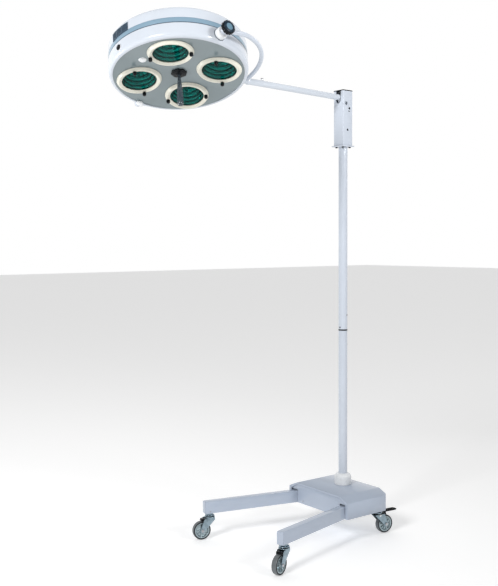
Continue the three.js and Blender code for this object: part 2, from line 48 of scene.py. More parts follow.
CORNERS = ("front_left", "front_right", "rear_left", "rear_right")
SIDES = ((1, "left"), (-1, "right"))


# ---- local frames, in millimetres


def joint_at(name):
    return Vector(JOINTS[name]["pos_m"])


def joint_axis(name):
    return Vector(JOINTS[name]["axis"]).normalized()


def local_frame(origin, along_x, along_y):
    """A matrix from millimetres in a local frame to metres in the row frame."""
    z = along_x.cross(along_y).normalized()
    y = z.cross(along_x).normalized()
    turn = Matrix((along_x.normalized(), y, z)).transposed().to_4x4()
    return Matrix.Translation(origin) @ turn @ Matrix.Scale(MM, 4)


X, Y, Z = Vector((1, 0, 0)), Vector((0, 1, 0)), Vector((0, 0, 1))
SWIVEL = joint_at("bracket_swivel")
POST_AT = Vector((SWIVEL.x, SWIVEL.y, 0))
PITCH_AXIS = joint_axis("arm_pitch")
ROLL_AXIS = joint_axis("yoke_roll")
TILT_AXIS = joint_axis("head_tilt")
HANDLE_AXIS = joint_axis("handle_turn")

POST = local_frame(POST_AT, X, Y)
BRACKET = local_frame(POST_AT, PITCH_AXIS.cross(Z), PITCH_AXIS)
ARM = local_frame(joint_at("arm_pitch"), ROLL_AXIS, PITCH_AXIS)
YOKE = local_frame(joint_at("head_tilt"), ROLL_AXIS, TILT_AXIS)
TILT_FRAME = local_frame(joint_at("head_tilt"), HANDLE_AXIS.cross(TILT_AXIS), TILT_AXIS)
HEAD_DROP = 6.2
HEAD = TILT_FRAME @ Matrix.Translation((0, 0, -HEAD_DROP))
FRAMES = {"base": POST, "bracket": BRACKET, "arm": ARM, "yoke": YOKE, "knob": YOKE}
FRAMES |= {"head": HEAD, "handle": HEAD, "switch": HEAD}


def caster_frame(tag):
    stem = joint_at(f"swivel_{tag}")
    hub = joint_at(f"spin_{tag}")
    trail = Vector((hub.x - stem.x, hub.y - stem.y, 0))
    return local_frame(Vector((stem.x, stem.y, 0)), trail, Z.cross(trail))


for corner in CORNERS:
    for kind in ("caster", "wheel", "brake"):
        FRAMES[f"{kind}_{corner}"] = caster_frame(corner)


# ---- the camera

CAMERA_FROM_POST = Vector((2.5887, 2.7824, 1.2139))
CAMERA_YAW = -127.015
CAMERA_PITCH = -3.26
CAMERA_ROLL = 0.3
FOCAL_LENGTH = 55.76


def make_camera():
    data = bpy.data.cameras.new("camera")
    data.lens = FOCAL_LENGTH
    data.sensor_width = 36
    camera = placed("camera", data)
    camera.location = POST_AT + CAMERA_FROM_POST
    yaw = Matrix.Rotation(radians(CAMERA_YAW - 90), 4, "Z")
    pitch = Matrix.Rotation(radians(90 + CAMERA_PITCH), 4, "X")
    roll = Matrix.Rotation(radians(-CAMERA_ROLL), 4, "Z")
    camera.rotation_euler = (yaw @ pitch @ roll).to_euler()
    bpy.context.scene.camera = camera


# ---- materials


class Nodes:
    """A material's node tree, with short ways to give its shader colour, gloss and grain."""

    def __init__(self, name):
        self.material = bpy.data.materials.new(name)
        self.material.use_nodes = True
        self.tree = self.material.node_tree
        self.shader = self.tree.nodes["Principled BSDF"]
        self.place = self.add("ShaderNodeTexCoord").outputs["Object"]

    def add(self, kind, inputs=(), **settings):
        node = self.tree.nodes.new(kind)
        for key, value in settings.items():
            setattr(node, key, value)
        for key, value in inputs:
            node.inputs[key].default_value = value
        return node

    def join(self, start, end):
        self.tree.links.new(start, end)

    def noise(self, scale, detail=3.0, roughness=0.5):
        values = (("Scale", scale), ("Detail", detail), ("Roughness", roughness))
        node = self.add("ShaderNodeTexNoise", values)
        self.join(self.place, node.inputs["Vector"])
        return node.outputs["Fac"]

    def span(self, value, low, high, start=0.3, end=0.7):
        """A value between start and end, stretched to run from low to high."""
        values = (("From Min", start), ("From Max", end), ("To Min", low), ("To Max", high))
        node = self.add("ShaderNodeMapRange", values)
        self.join(value, node.inputs["Value"])
        return node.outputs["Result"]

    def mix(self, factor, first, second):
        """Base colour between two colours."""
        node = self.add("ShaderNodeMix", (("A", (*first, 1)), ("B", (*second, 1))), data_type="RGBA")
        self.join(factor, node.inputs["Factor"])
        self.join(node.outputs["Result"], self.shader.inputs["Base Color"])

    def colour(self, first, second, scale, detail=3.0):
        """Base colour that drifts between two colours in clouds."""
        self.mix(self.span(self.noise(scale, detail), 0, 1), first, second)

    def rough(self, low, high, scale):
        self.join(self.span(self.noise(scale), low, high), self.shader.inputs["Roughness"])

    def bump(self, scale, strength, distance, detail):
        node = self.add("ShaderNodeBump", (("Strength", strength), ("Distance", distance)))
        self.join(self.noise(scale, detail), node.inputs["Height"])
        self.join(node.outputs["Normal"], self.shader.inputs["Normal"])

    def set(self, **values):
        for key, value in values.items():
            self.shader.inputs[key.replace("_", " ")].default_value = value


def scaled(rgb, factor):
    return tuple(min(1.0, channel * factor) for channel in rgb)


def surface(name, first, second, clouds, gloss, grain=None, **shader):
    """A material from two colours and the settings of its clouds, its roughness and its bump."""
    nodes = Nodes(name)
    nodes.colour(first, second, *clouds)
    nodes.rough(*gloss)
    if grain:
        nodes.bump(*grain)
    nodes.set(**shader)
    return nodes.material


def enamel(name, rgb, roughness=0.22, coat=0.4):
    """Stoved enamel on metal: a faint orange peel and slightly uneven gloss."""
    colours = scaled(rgb, 0.97), scaled(rgb, 1.02)
    gloss = (roughness - 0.04, roughness + 0.06, 45.0)
    peel = (650.0, 0.3, 0.00005, 1.0)
    return surface(name, *colours, (6.0, 4.0), gloss, peel, Coat_Weight=coat, Coat_Roughness=0.08)


def moulded(name, rgb, roughness=0.4, depth=0.00004, scale=1800.0, shine=0.5, sheen=0.0):
    """Moulded plastic with a fine grain. Its shine is dielectric and its sheen metallic."""
    colours = scaled(rgb, 0.92), scaled(rgb, 1.06)
    gloss = (roughness - 0.07, roughness + 0.08, 120.0)
    grain = (scale, 0.4, depth, 2.0)
    return surface(name, *colours, (25.0,), gloss, grain, Specular_IOR_Level=shine, Metallic=sheen)


def metal(name, rgb, roughness=0.25):
    """Plated or turned metal with fine streaks and dull spots."""
    colours = scaled(rgb, 0.75), scaled(rgb, 1.15)
    gloss = (roughness - 0.1, roughness + 0.15, 200.0)
    return surface(name, *colours, (60.0, 5.0), gloss, (2500.0, 0.3, 0.00003, 2.0), Metallic=1.0)


def tyre_rubber():
    """Black rubber with a little dust on it."""
    nodes = Nodes("tyre_rubber")
    dust = nodes.noise(90.0, detail=6.0, roughness=0.7)
    nodes.mix(nodes.span(dust, 0, 1, 0.45, 0.75), (0.012, 0.014, 0.017), (0.05, 0.055, 0.06))
    nodes.rough(0.35, 0.6, 300.0)
    nodes.bump(1400.0, 0.5, 0.00015, 3.0)
    nodes.set(Specular_IOR_Level=0.15)
    return nodes.material


WHITE = enamel("white_enamel", (0.60, 0.645, 0.71), roughness=0.2)
POST_WHITE = enamel("post_enamel", (0.58, 0.63, 0.71))
BASE_GREY = enamel("base_enamel", (0.44, 0.50, 0.60), roughness=0.1, coat=0.1)
# Light grey enamel made darker still: painted shade for the dim underside of the head.
COVER_SHADED_GREY = enamel("cover_enamel", (0.195, 0.245, 0.26), roughness=0.14)
STRIPE_BLUE = enamel("stripe_blue", (0.22, 0.335, 0.43))
WHITE_PLASTIC = moulded("white_plastic", (0.84, 0.86, 0.88), roughness=0.25)
IVORY = moulded("ivory_plastic", (0.78, 0.76, 0.66), roughness=0.3)
BLACK = moulded("black_plastic", (0.003, 0.005, 0.007), roughness=0.26, shine=0.15)
HUB_GREY = moulded("wheel_plastic", (0.38, 0.46, 0.49), roughness=0.17, sheen=0.65)
VENT_GREY = moulded("vent_plastic", (0.045, 0.075, 0.11), shine=0.3)
KNOB_FACE = moulded("knob_face", (0.008, 0.02, 0.035), roughness=0.25, shine=0.3)
INSET_BLUE = moulded("knob_inset", (0.13, 0.24, 0.32), roughness=0.22)
# Dark grey for the seam gasket, and for the ring round each boss foot, where it is painted shadow.
GASKET_AND_SHADE = moulded("dark_ring", (0.07, 0.1, 0.13), roughness=0.6, shine=0.2)
CERAMIC = moulded("ceramic", (0.75, 0.73, 0.68), roughness=0.45)
TYRE = tyre_rubber()
# Lighter grey for the tread: wear and dust, and a painted sheen for the light the tread reflects.
TREAD_WEAR_AND_SHEEN = moulded("tread_wear_and_sheen", (0.13, 0.145, 0.155), roughness=0.45, depth=0.0001, scale=900.0)
IRON = moulded("cast_iron", (0.05, 0.05, 0.055), roughness=0.7, depth=0.0003, scale=400.0)
ZINC = metal("zinc_plate", (0.28, 0.36, 0.41), roughness=0.2)
STEEL = metal("plain_steel", (0.45, 0.46, 0.48), roughness=0.32)
DARK_STEEL = metal("dark_steel", (0.13, 0.15, 0.18), roughness=0.35)
NUT = metal("bright_nut", (0.72, 0.76, 0.78), roughness=0.2)
# Dark metal for the reflector's shoulders: painted shade standing for the shadow on its steps.
STEP_SHADE = metal("painted_step_shade", (0.14, 0.18, 0.2), roughness=0.3)
# Heat-absorbing glass: a deep clear green with faint darker clouds.
GREEN = surface(
    "green_filter", (0.0, 0.34, 0.31), (0.0, 0.44, 0.38), (30.0,), (0.01, 0.03, 150.0),
    Transmission_Weight=1.0, IOR=1.12,
)
# The frosted envelope of the bulbs.
BULB = surface(
    "bulb_glass", (0.93, 0.94, 0.95), (0.98, 0.98, 0.99), (50.0,), (0.12, 0.25, 90.0),
    Transmission_Weight=0.85, IOR=1.46,
)
# A vacuum-coated reflector, very slightly wavy.
MIRROR = surface(
    "mirror_coat", (0.62, 0.68, 0.72), (0.74, 0.78, 0.82), (20.0,), (0.08, 0.18, 80.0),
    (160.0, 0.25, 0.0002, 1.0), Metallic=1.0,
)
# The smoke-grey translucent plastic of the sterile handle.
GRIP = surface(
    "smoky_grip", (0.05, 0.07, 0.09), (0.12, 0.15, 0.18), (40.0,), (0.08, 0.16, 150.0),
    Transmission_Weight=0.45, IOR=1.49,
)


# ---- mesh helpers

SHARP = 32


def faced_out(bm):
    bmesh.ops.recalc_face_normals(bm, faces=bm.faces)


def softened(points, steps=4):
    """A profile of [r, z] or [r, z, fillet] points with its corners turned into small arcs."""
    made = []
    for i, point in enumerate(points):
        fillet = point[2] if len(point) > 2 else 0
        here = Vector(point[:2])
        if fillet <= 0 or i in (0, len(points) - 1):
            made.append(here)
            continue
        before = Vector(points[i - 1][:2]) - here
        after = Vector(points[i + 1][:2]) - here
        reach = min(fillet, before.length * 0.49, after.length * 0.49)
        start = here + before.normalized() * reach
        end = here + after.normalized() * reach
        for k in range(steps + 1):
            t = k / steps
            made.append(start * (1 - t) ** 2 + here * 2 * t * (1 - t) + end * t**2)
    return made


def lathe(profile, segments=96, closed=False):
    """A profile turned about Z. Points on the axis become one vertex."""
    bm = bmesh.new()
    rings = []
    for radius, height in profile:
        if radius < 1e-6:
            rings.append([bm.verts.new((0, 0, height))])
            continue
        ring = []
        for i in range(segments):
            angle = 2 * pi * i / segments
            ring.append(bm.verts.new((radius * cos(angle), radius * sin(angle), height)))
        rings.append(ring)
    pairs = list(zip(rings, rings[1:]))
    if closed:
        pairs.append((rings[-1], rings[0]))
    for low, high in pairs:
        for i in range(segments):
            j = (i + 1) % segments
            corners = [low[i % len(low)], low[j % len(low)], high[j % len(high)], high[i % len(high)]]
            unique = list(dict.fromkeys(corners))
            if len(unique) > 2:
                bm.faces.new(unique)
    faced_out(bm)
    return bm


def turned(points, segments=96, closed=False, steps=4):
    """A profile with softened corners, turned about Z."""
    return lathe(softened(points, steps), segments, closed)


def rounded(bm, edges, width, segments):
    shape = {"offset": width, "segments": segments, "profile": 0.5}
    bmesh.ops.bevel(bm, geom=edges, affect="EDGES", clamp_overlap=True, **shape)


def bevelled(bm, width, segments=3, angle=30):
    """Rounds every edge that is sharper than an angle."""
    limit = radians(angle)
    faced_out(bm)
    edges = [e for e in bm.edges if len(e.link_faces) == 2 and e.calc_face_angle(0) > limit]
    rounded(bm, edges, width, segments)
    return bm


def block(low, high, bevel=1.0, segments=3):
    bm = bmesh.new()
    size = [b - a for a, b in zip(low, high)]
    middle = [(a + b) / 2 for a, b in zip(low, high)]
    bmesh.ops.create_cube(bm, size=1.0)
    bmesh.ops.scale(bm, vec=size, verts=bm.verts)
    bmesh.ops.translate(bm, vec=middle, verts=bm.verts)
    return bevelled(bm, bevel, segments) if bevel else bm


def column(half, low, high, bevel=1.0):
    """A square bar about Z."""
    return block((-half, -half, low), (half, half, high), bevel)


def prism(outline, low, high, bevel=0.0, segments=2):
    """An outline in X and Y, extruded from low to high."""
    bm = bmesh.new()
    bottom = [bm.verts.new((x, y, low)) for x, y in outline]
    top = [bm.verts.new((x, y, high)) for x, y in outline]
    count = len(outline)
    bm.faces.new(bottom[::-1])
    bm.faces.new(top)
    for i in range(count):
        j = (i + 1) % count
        bm.faces.new((bottom[i], bottom[j], top[j], top[i]))
    faced_out(bm)
    return bevelled(bm, bevel, segments, angle=50) if bevel else bm


def arc(x, y, radius, start, end, steps):
    turns = (radians(start + (end - start) * i / steps) for i in range(steps + 1))
    return [(x + radius * cos(a), y + radius * sin(a)) for a in turns]


def fluted(count, radius_at):
    """A round outline whose radius changes with the angle."""
    outline = []
    for i in range(count):
        angle = 2 * pi * i / count
        radius = radius_at(angle)
        outline.append((radius * cos(angle), radius * sin(angle)))
    return outline


def around(radius, degrees, height):
    angle = radians(degrees)
    return radius * cos(angle), radius * sin(angle), height


def bridged(bm, rings):
    """Faces between rings that have the same number of vertices."""
    for low, high in zip(rings, rings[1:]):
        for i in range(len(low)):
            j = (i + 1) % len(low)
            bm.faces.new((low[i], low[j], high[j], high[i]))


def swept(path, radius, sides):
    """A round bar along a list of points, with flat ends."""
    bm = bmesh.new()
    rings = []
    for i, point in enumerate(path):
        before = path[max(i - 1, 0)]
        after = path[min(i + 1, len(path) - 1)]
        along = (after - before).normalized()
        side = Z.cross(along).normalized()
        up = along.cross(side).normalized()
        ring = []
        for k in range(sides):
            angle = 2 * pi * k / sides
            ring.append(bm.verts.new(point + radius * (side * cos(angle) + up * sin(angle))))
        rings.append(ring)
    bridged(bm, rings)
    bm.faces.new(rings[0][::-1])
    bm.faces.new(rings[-1])
    faced_out(bm)
    return bm


def moved(bm, matrix):
    bmesh.ops.transform(bm, matrix=matrix, verts=bm.verts)
    return bm


def spot(x, y, z, toward=Z):
    """A place for something made about Z: at a point, with its Z along a direction."""
    return Matrix.Translation((x, y, z)) @ toward.to_track_quat("Z", "Y").to_matrix().to_4x4()


def merged(*parts):
    """Several meshes as one."""
    whole = bmesh.new()
    for part in parts:
        mesh = bpy.data.meshes.new("part")
        part.to_mesh(mesh)
        part.free()
        whole.from_mesh(mesh)
        bpy.data.meshes.remove(mesh)
    return whole


def smoothed(bm, sharp):
    """Smooth shading, apart from the edges that are sharper than an angle."""
    limit = radians(sharp)
    for face in bm.faces:
        face.smooth = True
    for edge in bm.edges:
        edge.smooth = edge.calc_face_angle(0) < limit


def placed(name, data):
    made = bpy.data.objects.new(name, data)
    bpy.context.scene.collection.objects.link(made)
    return made


def new_object(name, bm):
    mesh = bpy.data.meshes.new(name)
    bm.to_mesh(mesh)
    bm.free()
    return placed(name, mesh)


def piece(name, bm, material, body, node=None, place=None, sharp=SHARP):
    """A piece on a body, from a mesh in the body's frame or another place. It may replace a node."""
    moved(bm, place or FRAMES[body])
    faced_out(bm)
    smoothed(bm, sharp)
    made = new_object(name, bm)
    made.data.materials.append(material)
    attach(made, body)
    if node:
        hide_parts(node)
    return made


def applied(target, kind, **settings):
    """Adds a modifier, and makes its result the piece's own mesh."""
    modifier = target.modifiers.new("step", kind)
    for key, value in settings.items():
        setattr(modifier, key, value)
    with bpy.context.temp_override(object=target, active_object=target):
        bpy.ops.object.modifier_apply(modifier=modifier.name)


def carved(target, place, *cutters):
    """Cuts meshes in a local frame out of a piece."""
    for bm in cutters:
        moved(bm, place)
        faced_out(bm)
        tool = new_object("cutter", bm)
        applied(target, "BOOLEAN", operation="DIFFERENCE", solver="EXACT", object=tool)
        mesh = tool.data
        bpy.data.objects.remove(tool)
        bpy.data.meshes.remove(mesh)
    bm = bmesh.new()
    bm.from_mesh(target.data)
    smoothed(bm, SHARP)
    bm.to_mesh(target.data)
    bm.free()


def second_material(made, material, turns, chosen):
    """Gives a turned piece another material on the rows of faces that are chosen."""
    made.data.materials.append(material)
    for face in made.data.polygons:
        face.material_index = int(chosen[face.index // turns])


def screw_head(radius, height):
    """A low domed head."""
    edge = [(radius, 0), (radius, height * 0.4, radius * 0.2)]
    dome = softened([*edge, (radius * 0.6, height), (0, height * 1.05)])
    return lathe([(0, 0), *dome], 24)


def put_screws(name, places, radius, height, material, body):
    heads = [moved(screw_head(radius, height), place) for place in places]
    piece(name, merged(*heads), material, body)


# ---- base

# Turns an outline drawn in Y and Z so that it is extruded along X, and one in X and Z along -Y.
ACROSS = Matrix(((0, 0, 1, 0), (1, 0, 0, 0), (0, 1, 0, 0), (0, 0, 0, 1)))
UPRIGHT = Matrix(((1, 0, 0, 0), (0, 0, -1, 0), (0, 1, 0, 0), (0, 0, 0, 1)))

BASE_FRONT, BASE_REAR, BASE_HALF = 143, -80, 181
BASE_LOW, BASE_TOP = 105, 190
CHAMFER_RUN, CHAMFER_DROP = 45, 20
BASE_CORNER = 8
SHEET = 1.5
PANEL_FRONT, PANEL_INNER = BASE_FRONT - 5, 131.6
LEG_WIDTH, LEG_HEIGHT = 30, 50
LEG_TIP, LEG_ROOT = Vector((541, 246.5, 0)), Vector((-43.8, 104.4, 0))
LEG_NOTCH_TOP = BASE_LOW + LEG_HEIGHT + 5


def hood_outline(side_inset=0.0, top_inset=0.0):
    """Half of the hood's section in Y and Z, from the bottom edge to the flat top."""
    shoulder = BASE_TOP - CHAMFER_DROP - top_inset * 0.4 - side_inset * 0.2
    outer = BASE_HALF - side_inset
    inner = BASE_HALF - CHAMFER_RUN - top_inset * 0.6
    return [(outer, BASE_LOW), (outer, shoulder), (inner, BASE_TOP - top_inset)]


def mirrored(half):
    return half + [(-y, z) for y, z in reversed(half)]


def base_hood():
    """The folded hood: chamfered on both sides, upright behind, with a return lip round its mouth."""
    section = mirrored(hood_outline())
    rise = BASE_CORNER * CHAMFER_DROP / CHAMFER_RUN
    bm = bmesh.new()
    front = [bm.verts.new((BASE_FRONT - SHEET, y, z)) for y, z in section]
    bend = []
    for y, z in section:
        corner = BASE_CORNER if abs(y) == BASE_HALF else 0
        bend.append(bm.verts.new((BASE_REAR + corner, y, z)))
    rear = {}
    for i in (0, 1, 4, 5):
        y, z = section[i]
        lift = rise if z > BASE_LOW else 0
        rear[i] = bm.verts.new((BASE_REAR, y - copysign(BASE_CORNER, y), z + lift))
    for i in range(len(section) - 1):
        bm.faces.new((front[i], front[i + 1], bend[i + 1], bend[i]))
    for low, shoulder, top in ((0, 1, 2), (5, 4, 3)):
        bm.faces.new((bend[low], bend[shoulder], rear[shoulder], rear[low]))
        bm.faces.new((bend[shoulder], bend[top], rear[shoulder]))
    bm.faces.new((rear[0], rear[1], bend[2], bend[3], rear[4], rear[5]))
    bevelled(bm, 2.2, angle=12)
    hood = piece("base_hood", bm, BASE_GREY, "base", "base_cover")
    applied(hood, "SOLIDIFY", thickness=SHEET * MM, offset=-1)
    outer = hood_outline(0.1, 0.1)
    inner = hood_outline(14, 7)
    band = mirrored(outer) + [(-y, z) for y, z in inner] + inner[::-1]
    lip = prism(band, BASE_FRONT - SHEET, BASE_FRONT, bevel=0.7, segments=3)
    piece("base_hood_lip", moved(lip, ACROSS), BASE_GREY, "base")


def base_front():
    """The front panel: full height between the legs and shorter over them."""
    reach = BASE_HALF - 3
    notch = [(PANEL_INNER, BASE_LOW + 1), (PANEL_INNER, LEG_NOTCH_TOP), (reach, LEG_NOTCH_TOP)]
    shoulder = (reach, BASE_TOP - CHAMFER_DROP - 2)
    outline = mirrored([*notch, shoulder, (BASE_HALF - CHAMFER_RUN - 3, BASE_TOP - 3)])
    panel = moved(prism(outline, PANEL_FRONT - 1, PANEL_FRONT + 1, bevel=0.6), ACROSS)
    piece("front_panel", panel, BASE_GREY, "base", "front_plate")
    places = [spot(PANEL_FRONT + 1, side * 96.5, 117.4, X) for side in (-1, 1)]
    put_screws("front_panel_screws", places, 3.0, 1.8, STEEL, "base")


def legs():
    half = LEG_WIDTH / 2
    top = BASE_LOW + LEG_HEIGHT
    for side, name in SIDES:
        tip = Vector((LEG_TIP.x, side * LEG_TIP.y, 0))
        root = Vector((LEG_ROOT.x, side * LEG_ROOT.y, 0))
        along = (tip - root).normalized()
        turn = Matrix.Translation(root) @ along.to_track_quat("X", "Z").to_matrix().to_4x4()
        length = (tip - root).length
        tube = block((0, -half, BASE_LOW), (length - 2.4, half, top), 2.2)
        piece(f"leg_tube_{name}", moved(tube, turn), BASE_GREY, "base", f"leg_{name}")
        cap_low = (length - 2.2, -half + 0.4, BASE_LOW + 0.4)
        cap = block(cap_low, (length, half - 0.4, top - 0.4), 0.9)
        piece(f"leg_cap_{name}", moved(cap, turn), BASE_GREY, "base")
        place = spot(length - 22, -side * (half - 0.1), BASE_LOW + 8, Vector((0, -side, 0)))
        screw = moved(screw_head(2.8, 1.4), place)
        piece(f"leg_screw_{name}", moved(screw, turn), STEEL, "base")


# ---- post

POST_R, POST_BORE = 18.5, 16.5
POST_FOOT, POST_JOINT, POST_TOP = 161, 840, 1600
JOINT_GAP = 5.6
SET_SCREWS = ((112, 905), (5, 854))


def post():
    collar = [
        (18.8, 190.3), (34.6, 190.3, 0.8), (35.4, 196, 1), (35.4, 222, 3), (34.4, 229, 4), (29, 236, 5),
        (18.8, 238.3),
    ]
    piece("base_collar", turned(collar, 96, True), WHITE_PLASTIC, "base", "post_collar")
    spans = {"lower": (POST_FOOT, POST_JOINT), "upper": (POST_JOINT + JOINT_GAP, POST_TOP - 0.1)}
    for name, (low, high) in spans.items():
        tube = [(POST_BORE, low), (POST_R, low, 0.6), (POST_R, high, 0.6), (POST_BORE, high)]
        piece(f"post_tube_{name}", turned(tube, 96, True), POST_WHITE, "base", f"post_{name}")
    low = POST_JOINT + 0.3
    ring = [
        (12, low - 50), (16.2, low - 50), (16.2, low), (19, low, 0.5), (19, low + 5, 0.5), (16.2, low + 5),
        (16.2, low + 55), (12, low + 55),
    ]
    piece("post_joint_ring", turned(ring, 96, True), BLACK, "base", "post_joint")
    places = []
    for degrees, height in SET_SCREWS:
        out = Vector(around(1, degrees, 0))
        places.append(spot(*(out * (POST_R - 0.3)).to_2d(), height, out))
    put_screws("post_set_screws", places, 3.2, 1.4, BLACK, "base")


def mains_gland():
    nut = [(3.5, -3), (7.5, -3), (7.5, 2.2), (11, 2.2, 0.6), (11, 8, 1), (7.2, 14, 1)]
    gland = turned([*nut, (6.6, 20, 0.8), (3.5, 20)], 48, True)
    mount = spot(BASE_REAR + SHEET, 60, 135, -X)
    piece("mains_gland", moved(gland, mount), BLACK, "base", "cable_gland")


# ---- casters

TRAIL, AXLE = 36, 37.5
RIM = 31.5
WHEEL_R, HALF_TYRE = 37.5, 12
# Beyond this radius the tyre gets the worn, painted-sheen tread colour.
WEAR_AND_SHEEN_RADIUS = 36.4
TYRE_TURNS = 96
HUB_RIBS = 10


def caster_fork():
    """Swivel head with its two raceway rings and two cheeks that narrow to the axle."""
    head = [
        (0, 85), (19, 85, 2), (21.5, 87.5, 1.5), (21.5, 91.5, 1), (17, 92.6, 1), (17, 94.2, 0.5),
        (19.5, 94.8, 0.8), (19.5, 97.6, 0.8), (13, 98.6, 1), (12, 99), (12, 104.6), (0, 104.6),
    ]
    foot = arc(TRAIL, AXLE, 9.5, 200, 380, 16)
    cheek = [(-18, 87.4), (-18, 79), *foot, (32, 73), (30, 80), (24, 87.4)]
    parts = [turned(head, 64)]
    for low, high in ((-15.9, -13.6), (13.6, 15.9)):
        parts.append(moved(prism(cheek, low, high, bevel=0.7, segments=3), UPRIGHT))
    return merged(*parts)


def caster_axle():
    bolt = [
        (0, -19.5), (5.5, -19.5, 1), (6.4, -17.5, 0.6), (6.4, -16), (4, -16), (4, 16), (6.4, 16),
        (6.4, 18, 0.6), (3, 19.5, 0.5), (0, 19.5),
    ]
    return moved(turned(bolt, 24), spot(TRAIL, 0, AXLE, Y))


def thread_guard():
    """The black cover between the cheeks, over the wheel."""
    outline = [(-15, 84.8), (-15, 80), *arc(TRAIL, AXLE, 39.4, 133, 84, 12), (38, 84.8)]
    return moved(prism(outline, -11.5, 11.5, bevel=0.8), UPRIGHT)


def both_halves(half):
    """A profile and its mirror image beyond z = 0."""
    return [*half, *[(r, -z, *fillet) for r, z, *fillet in reversed(half)]]


def wheel_hub():
    """Bearing boss, a thin web with ribs on both faces, and the rim under the tyre."""
    half = HALF_TYRE - 0.5
    profile = [
        (4.4, -half), (8, -half, 1), (10, -half + 4, 1.5), (12, -4.5, 1.5), (24, -3.5, 2),
        (26.5, 3 - half, 1.5), (28, 2 - half, 0.8), (RIM, 2 - half, 0.5),
    ]
    parts = [turned(both_halves(profile), 72, True)]
    for i in range(HUB_RIBS):
        rib = block((8.6, -1.0, -8.4), (26.5, 1.0, 8.4), 0.5, 2)
        parts.append(moved(rib, Matrix.Rotation(2 * pi * i / HUB_RIBS, 4, "Z")))
    return merged(*parts)


def add_tyre(tag, spin):
    """A black tyre whose tread is lighter grey: worn and dusty, and painted lighter still as a sheen for the
    light it reflects.
    """
    half = [
        (RIM + 0.4, 2 - HALF_TYRE), (33, 0.6 - HALF_TYRE, 0.8), (35, -HALF_TYRE + 0.2, 1.5),
        (36.7, 2.4 - HALF_TYRE, 2), (WHEEL_R, 5.5 - HALF_TYRE, 2),
    ]
    profile = softened(both_halves(half))
    following = profile[1:] + profile[:1]
    tyre = moved(lathe(profile, TYRE_TURNS, True), spin)
    made = piece(f"caster_tyre_{tag}", tyre, TYRE, f"wheel_{tag}", f"tyre_{tag}")
    wear_and_sheen = [min(here.x, after.x) > WEAR_AND_SHEEN_RADIUS for here, after in zip(profile, following)]
    second_material(made, TREAD_WEAR_AND_SHEEN, TYRE_TURNS, wear_and_sheen)


def brake_pedal():
    """A pressed pedal with ribs, a rounded foot end and a turned-down root."""
    outline = [(26, -13), (78, -14), (90, -13), (96, -8), (98, 0), (96, 8), (90, 13), (78, 14), (26, 13)]
    foot = prism(outline, 89, 93, bevel=1.2, segments=3)
    ribs = [block((30, y - 1.2, 92.4), (90, y + 1.2, 95.4), 0.7, 2) for y in (-7, 0, 7)]
    root = block((28, -18.5, 86.3), (33, 18.5, 92.8), 1.4)
    return merged(foot, root, *ribs)


def brake_frame():
    """The dark strap of the brake: a nose in front of the cheeks and a bar along each of them."""
    outline = [(-27, -14), (-24, -18), (-19, -18), (-19, 18), (-24, 18), (-27, 14)]
    nose = prism(outline, 83, 88, bevel=0.9)
    bars = [block((-22, y - 1.4, 82.4), (26.6, y + 1.4, 88.4), 0.8) for y in (-17.6, 17.6)]
    return merged(nose, *bars)


def brake(tag):
    piece(f"brake_pedal_{tag}", brake_pedal(), BLACK, f"brake_{tag}", f"brake_{tag}")
    piece(f"brake_frame_{tag}", brake_frame(), BLACK, f"caster_{tag}")
    places = [spot(5, side * 15.7, 78.6, Y * side) for side in (-1, 1)]
    put_screws(f"brake_nuts_{tag}", places, 6.0, 3.4, NUT, f"caster_{tag}")


def casters():
    spin = spot(TRAIL, 0, AXLE, Y)
    seal = [(14, 92.8), (18.2, 92.8, 0.4), (18.2, 94.4, 0.4), (14, 94.4)]
    for tag in CORNERS:
        body = f"caster_{tag}"
        piece(f"caster_fork_{tag}", caster_fork(), ZINC, body, f"fork_{tag}")
        piece(f"caster_axle_{tag}", caster_axle(), STEEL, body)
        piece(f"caster_guard_{tag}", thread_guard(), BLACK, body)
        piece(f"caster_seal_{tag}", turned(seal, 48, True), BLACK, body)
        hub = moved(wheel_hub(), spin)
        piece(f"caster_hub_{tag}", hub, HUB_GREY, f"wheel_{tag}", f"wheel_{tag}")
        add_tyre(tag, spin)
        if tag.startswith("rear"):
            brake(tag)


# ---- bracket

HALF_BRACKET, BRACKET_LOW, BRACKET_TOP = 27.3, 1605.3, 1827
BRACKET_WALL, BRACKET_FOLD = 3, 3
SLOT_R, SLOT_FLOOR = 13.5, 1777
FLANGE_HALF, FLANGE_LOW = 33.5, 1600.3
STUB_R, STUB_LENGTH = 16.1, 95
FLANGE_BOLT = 19
ARM_PIVOT_X, ARM_PIVOT_Z = 10, 1776.5
BRACKET_SCREWS = ((-8.5, 1757, 4.6), (-7, 1745, 2.9), (1.5, 1669, 4.8))


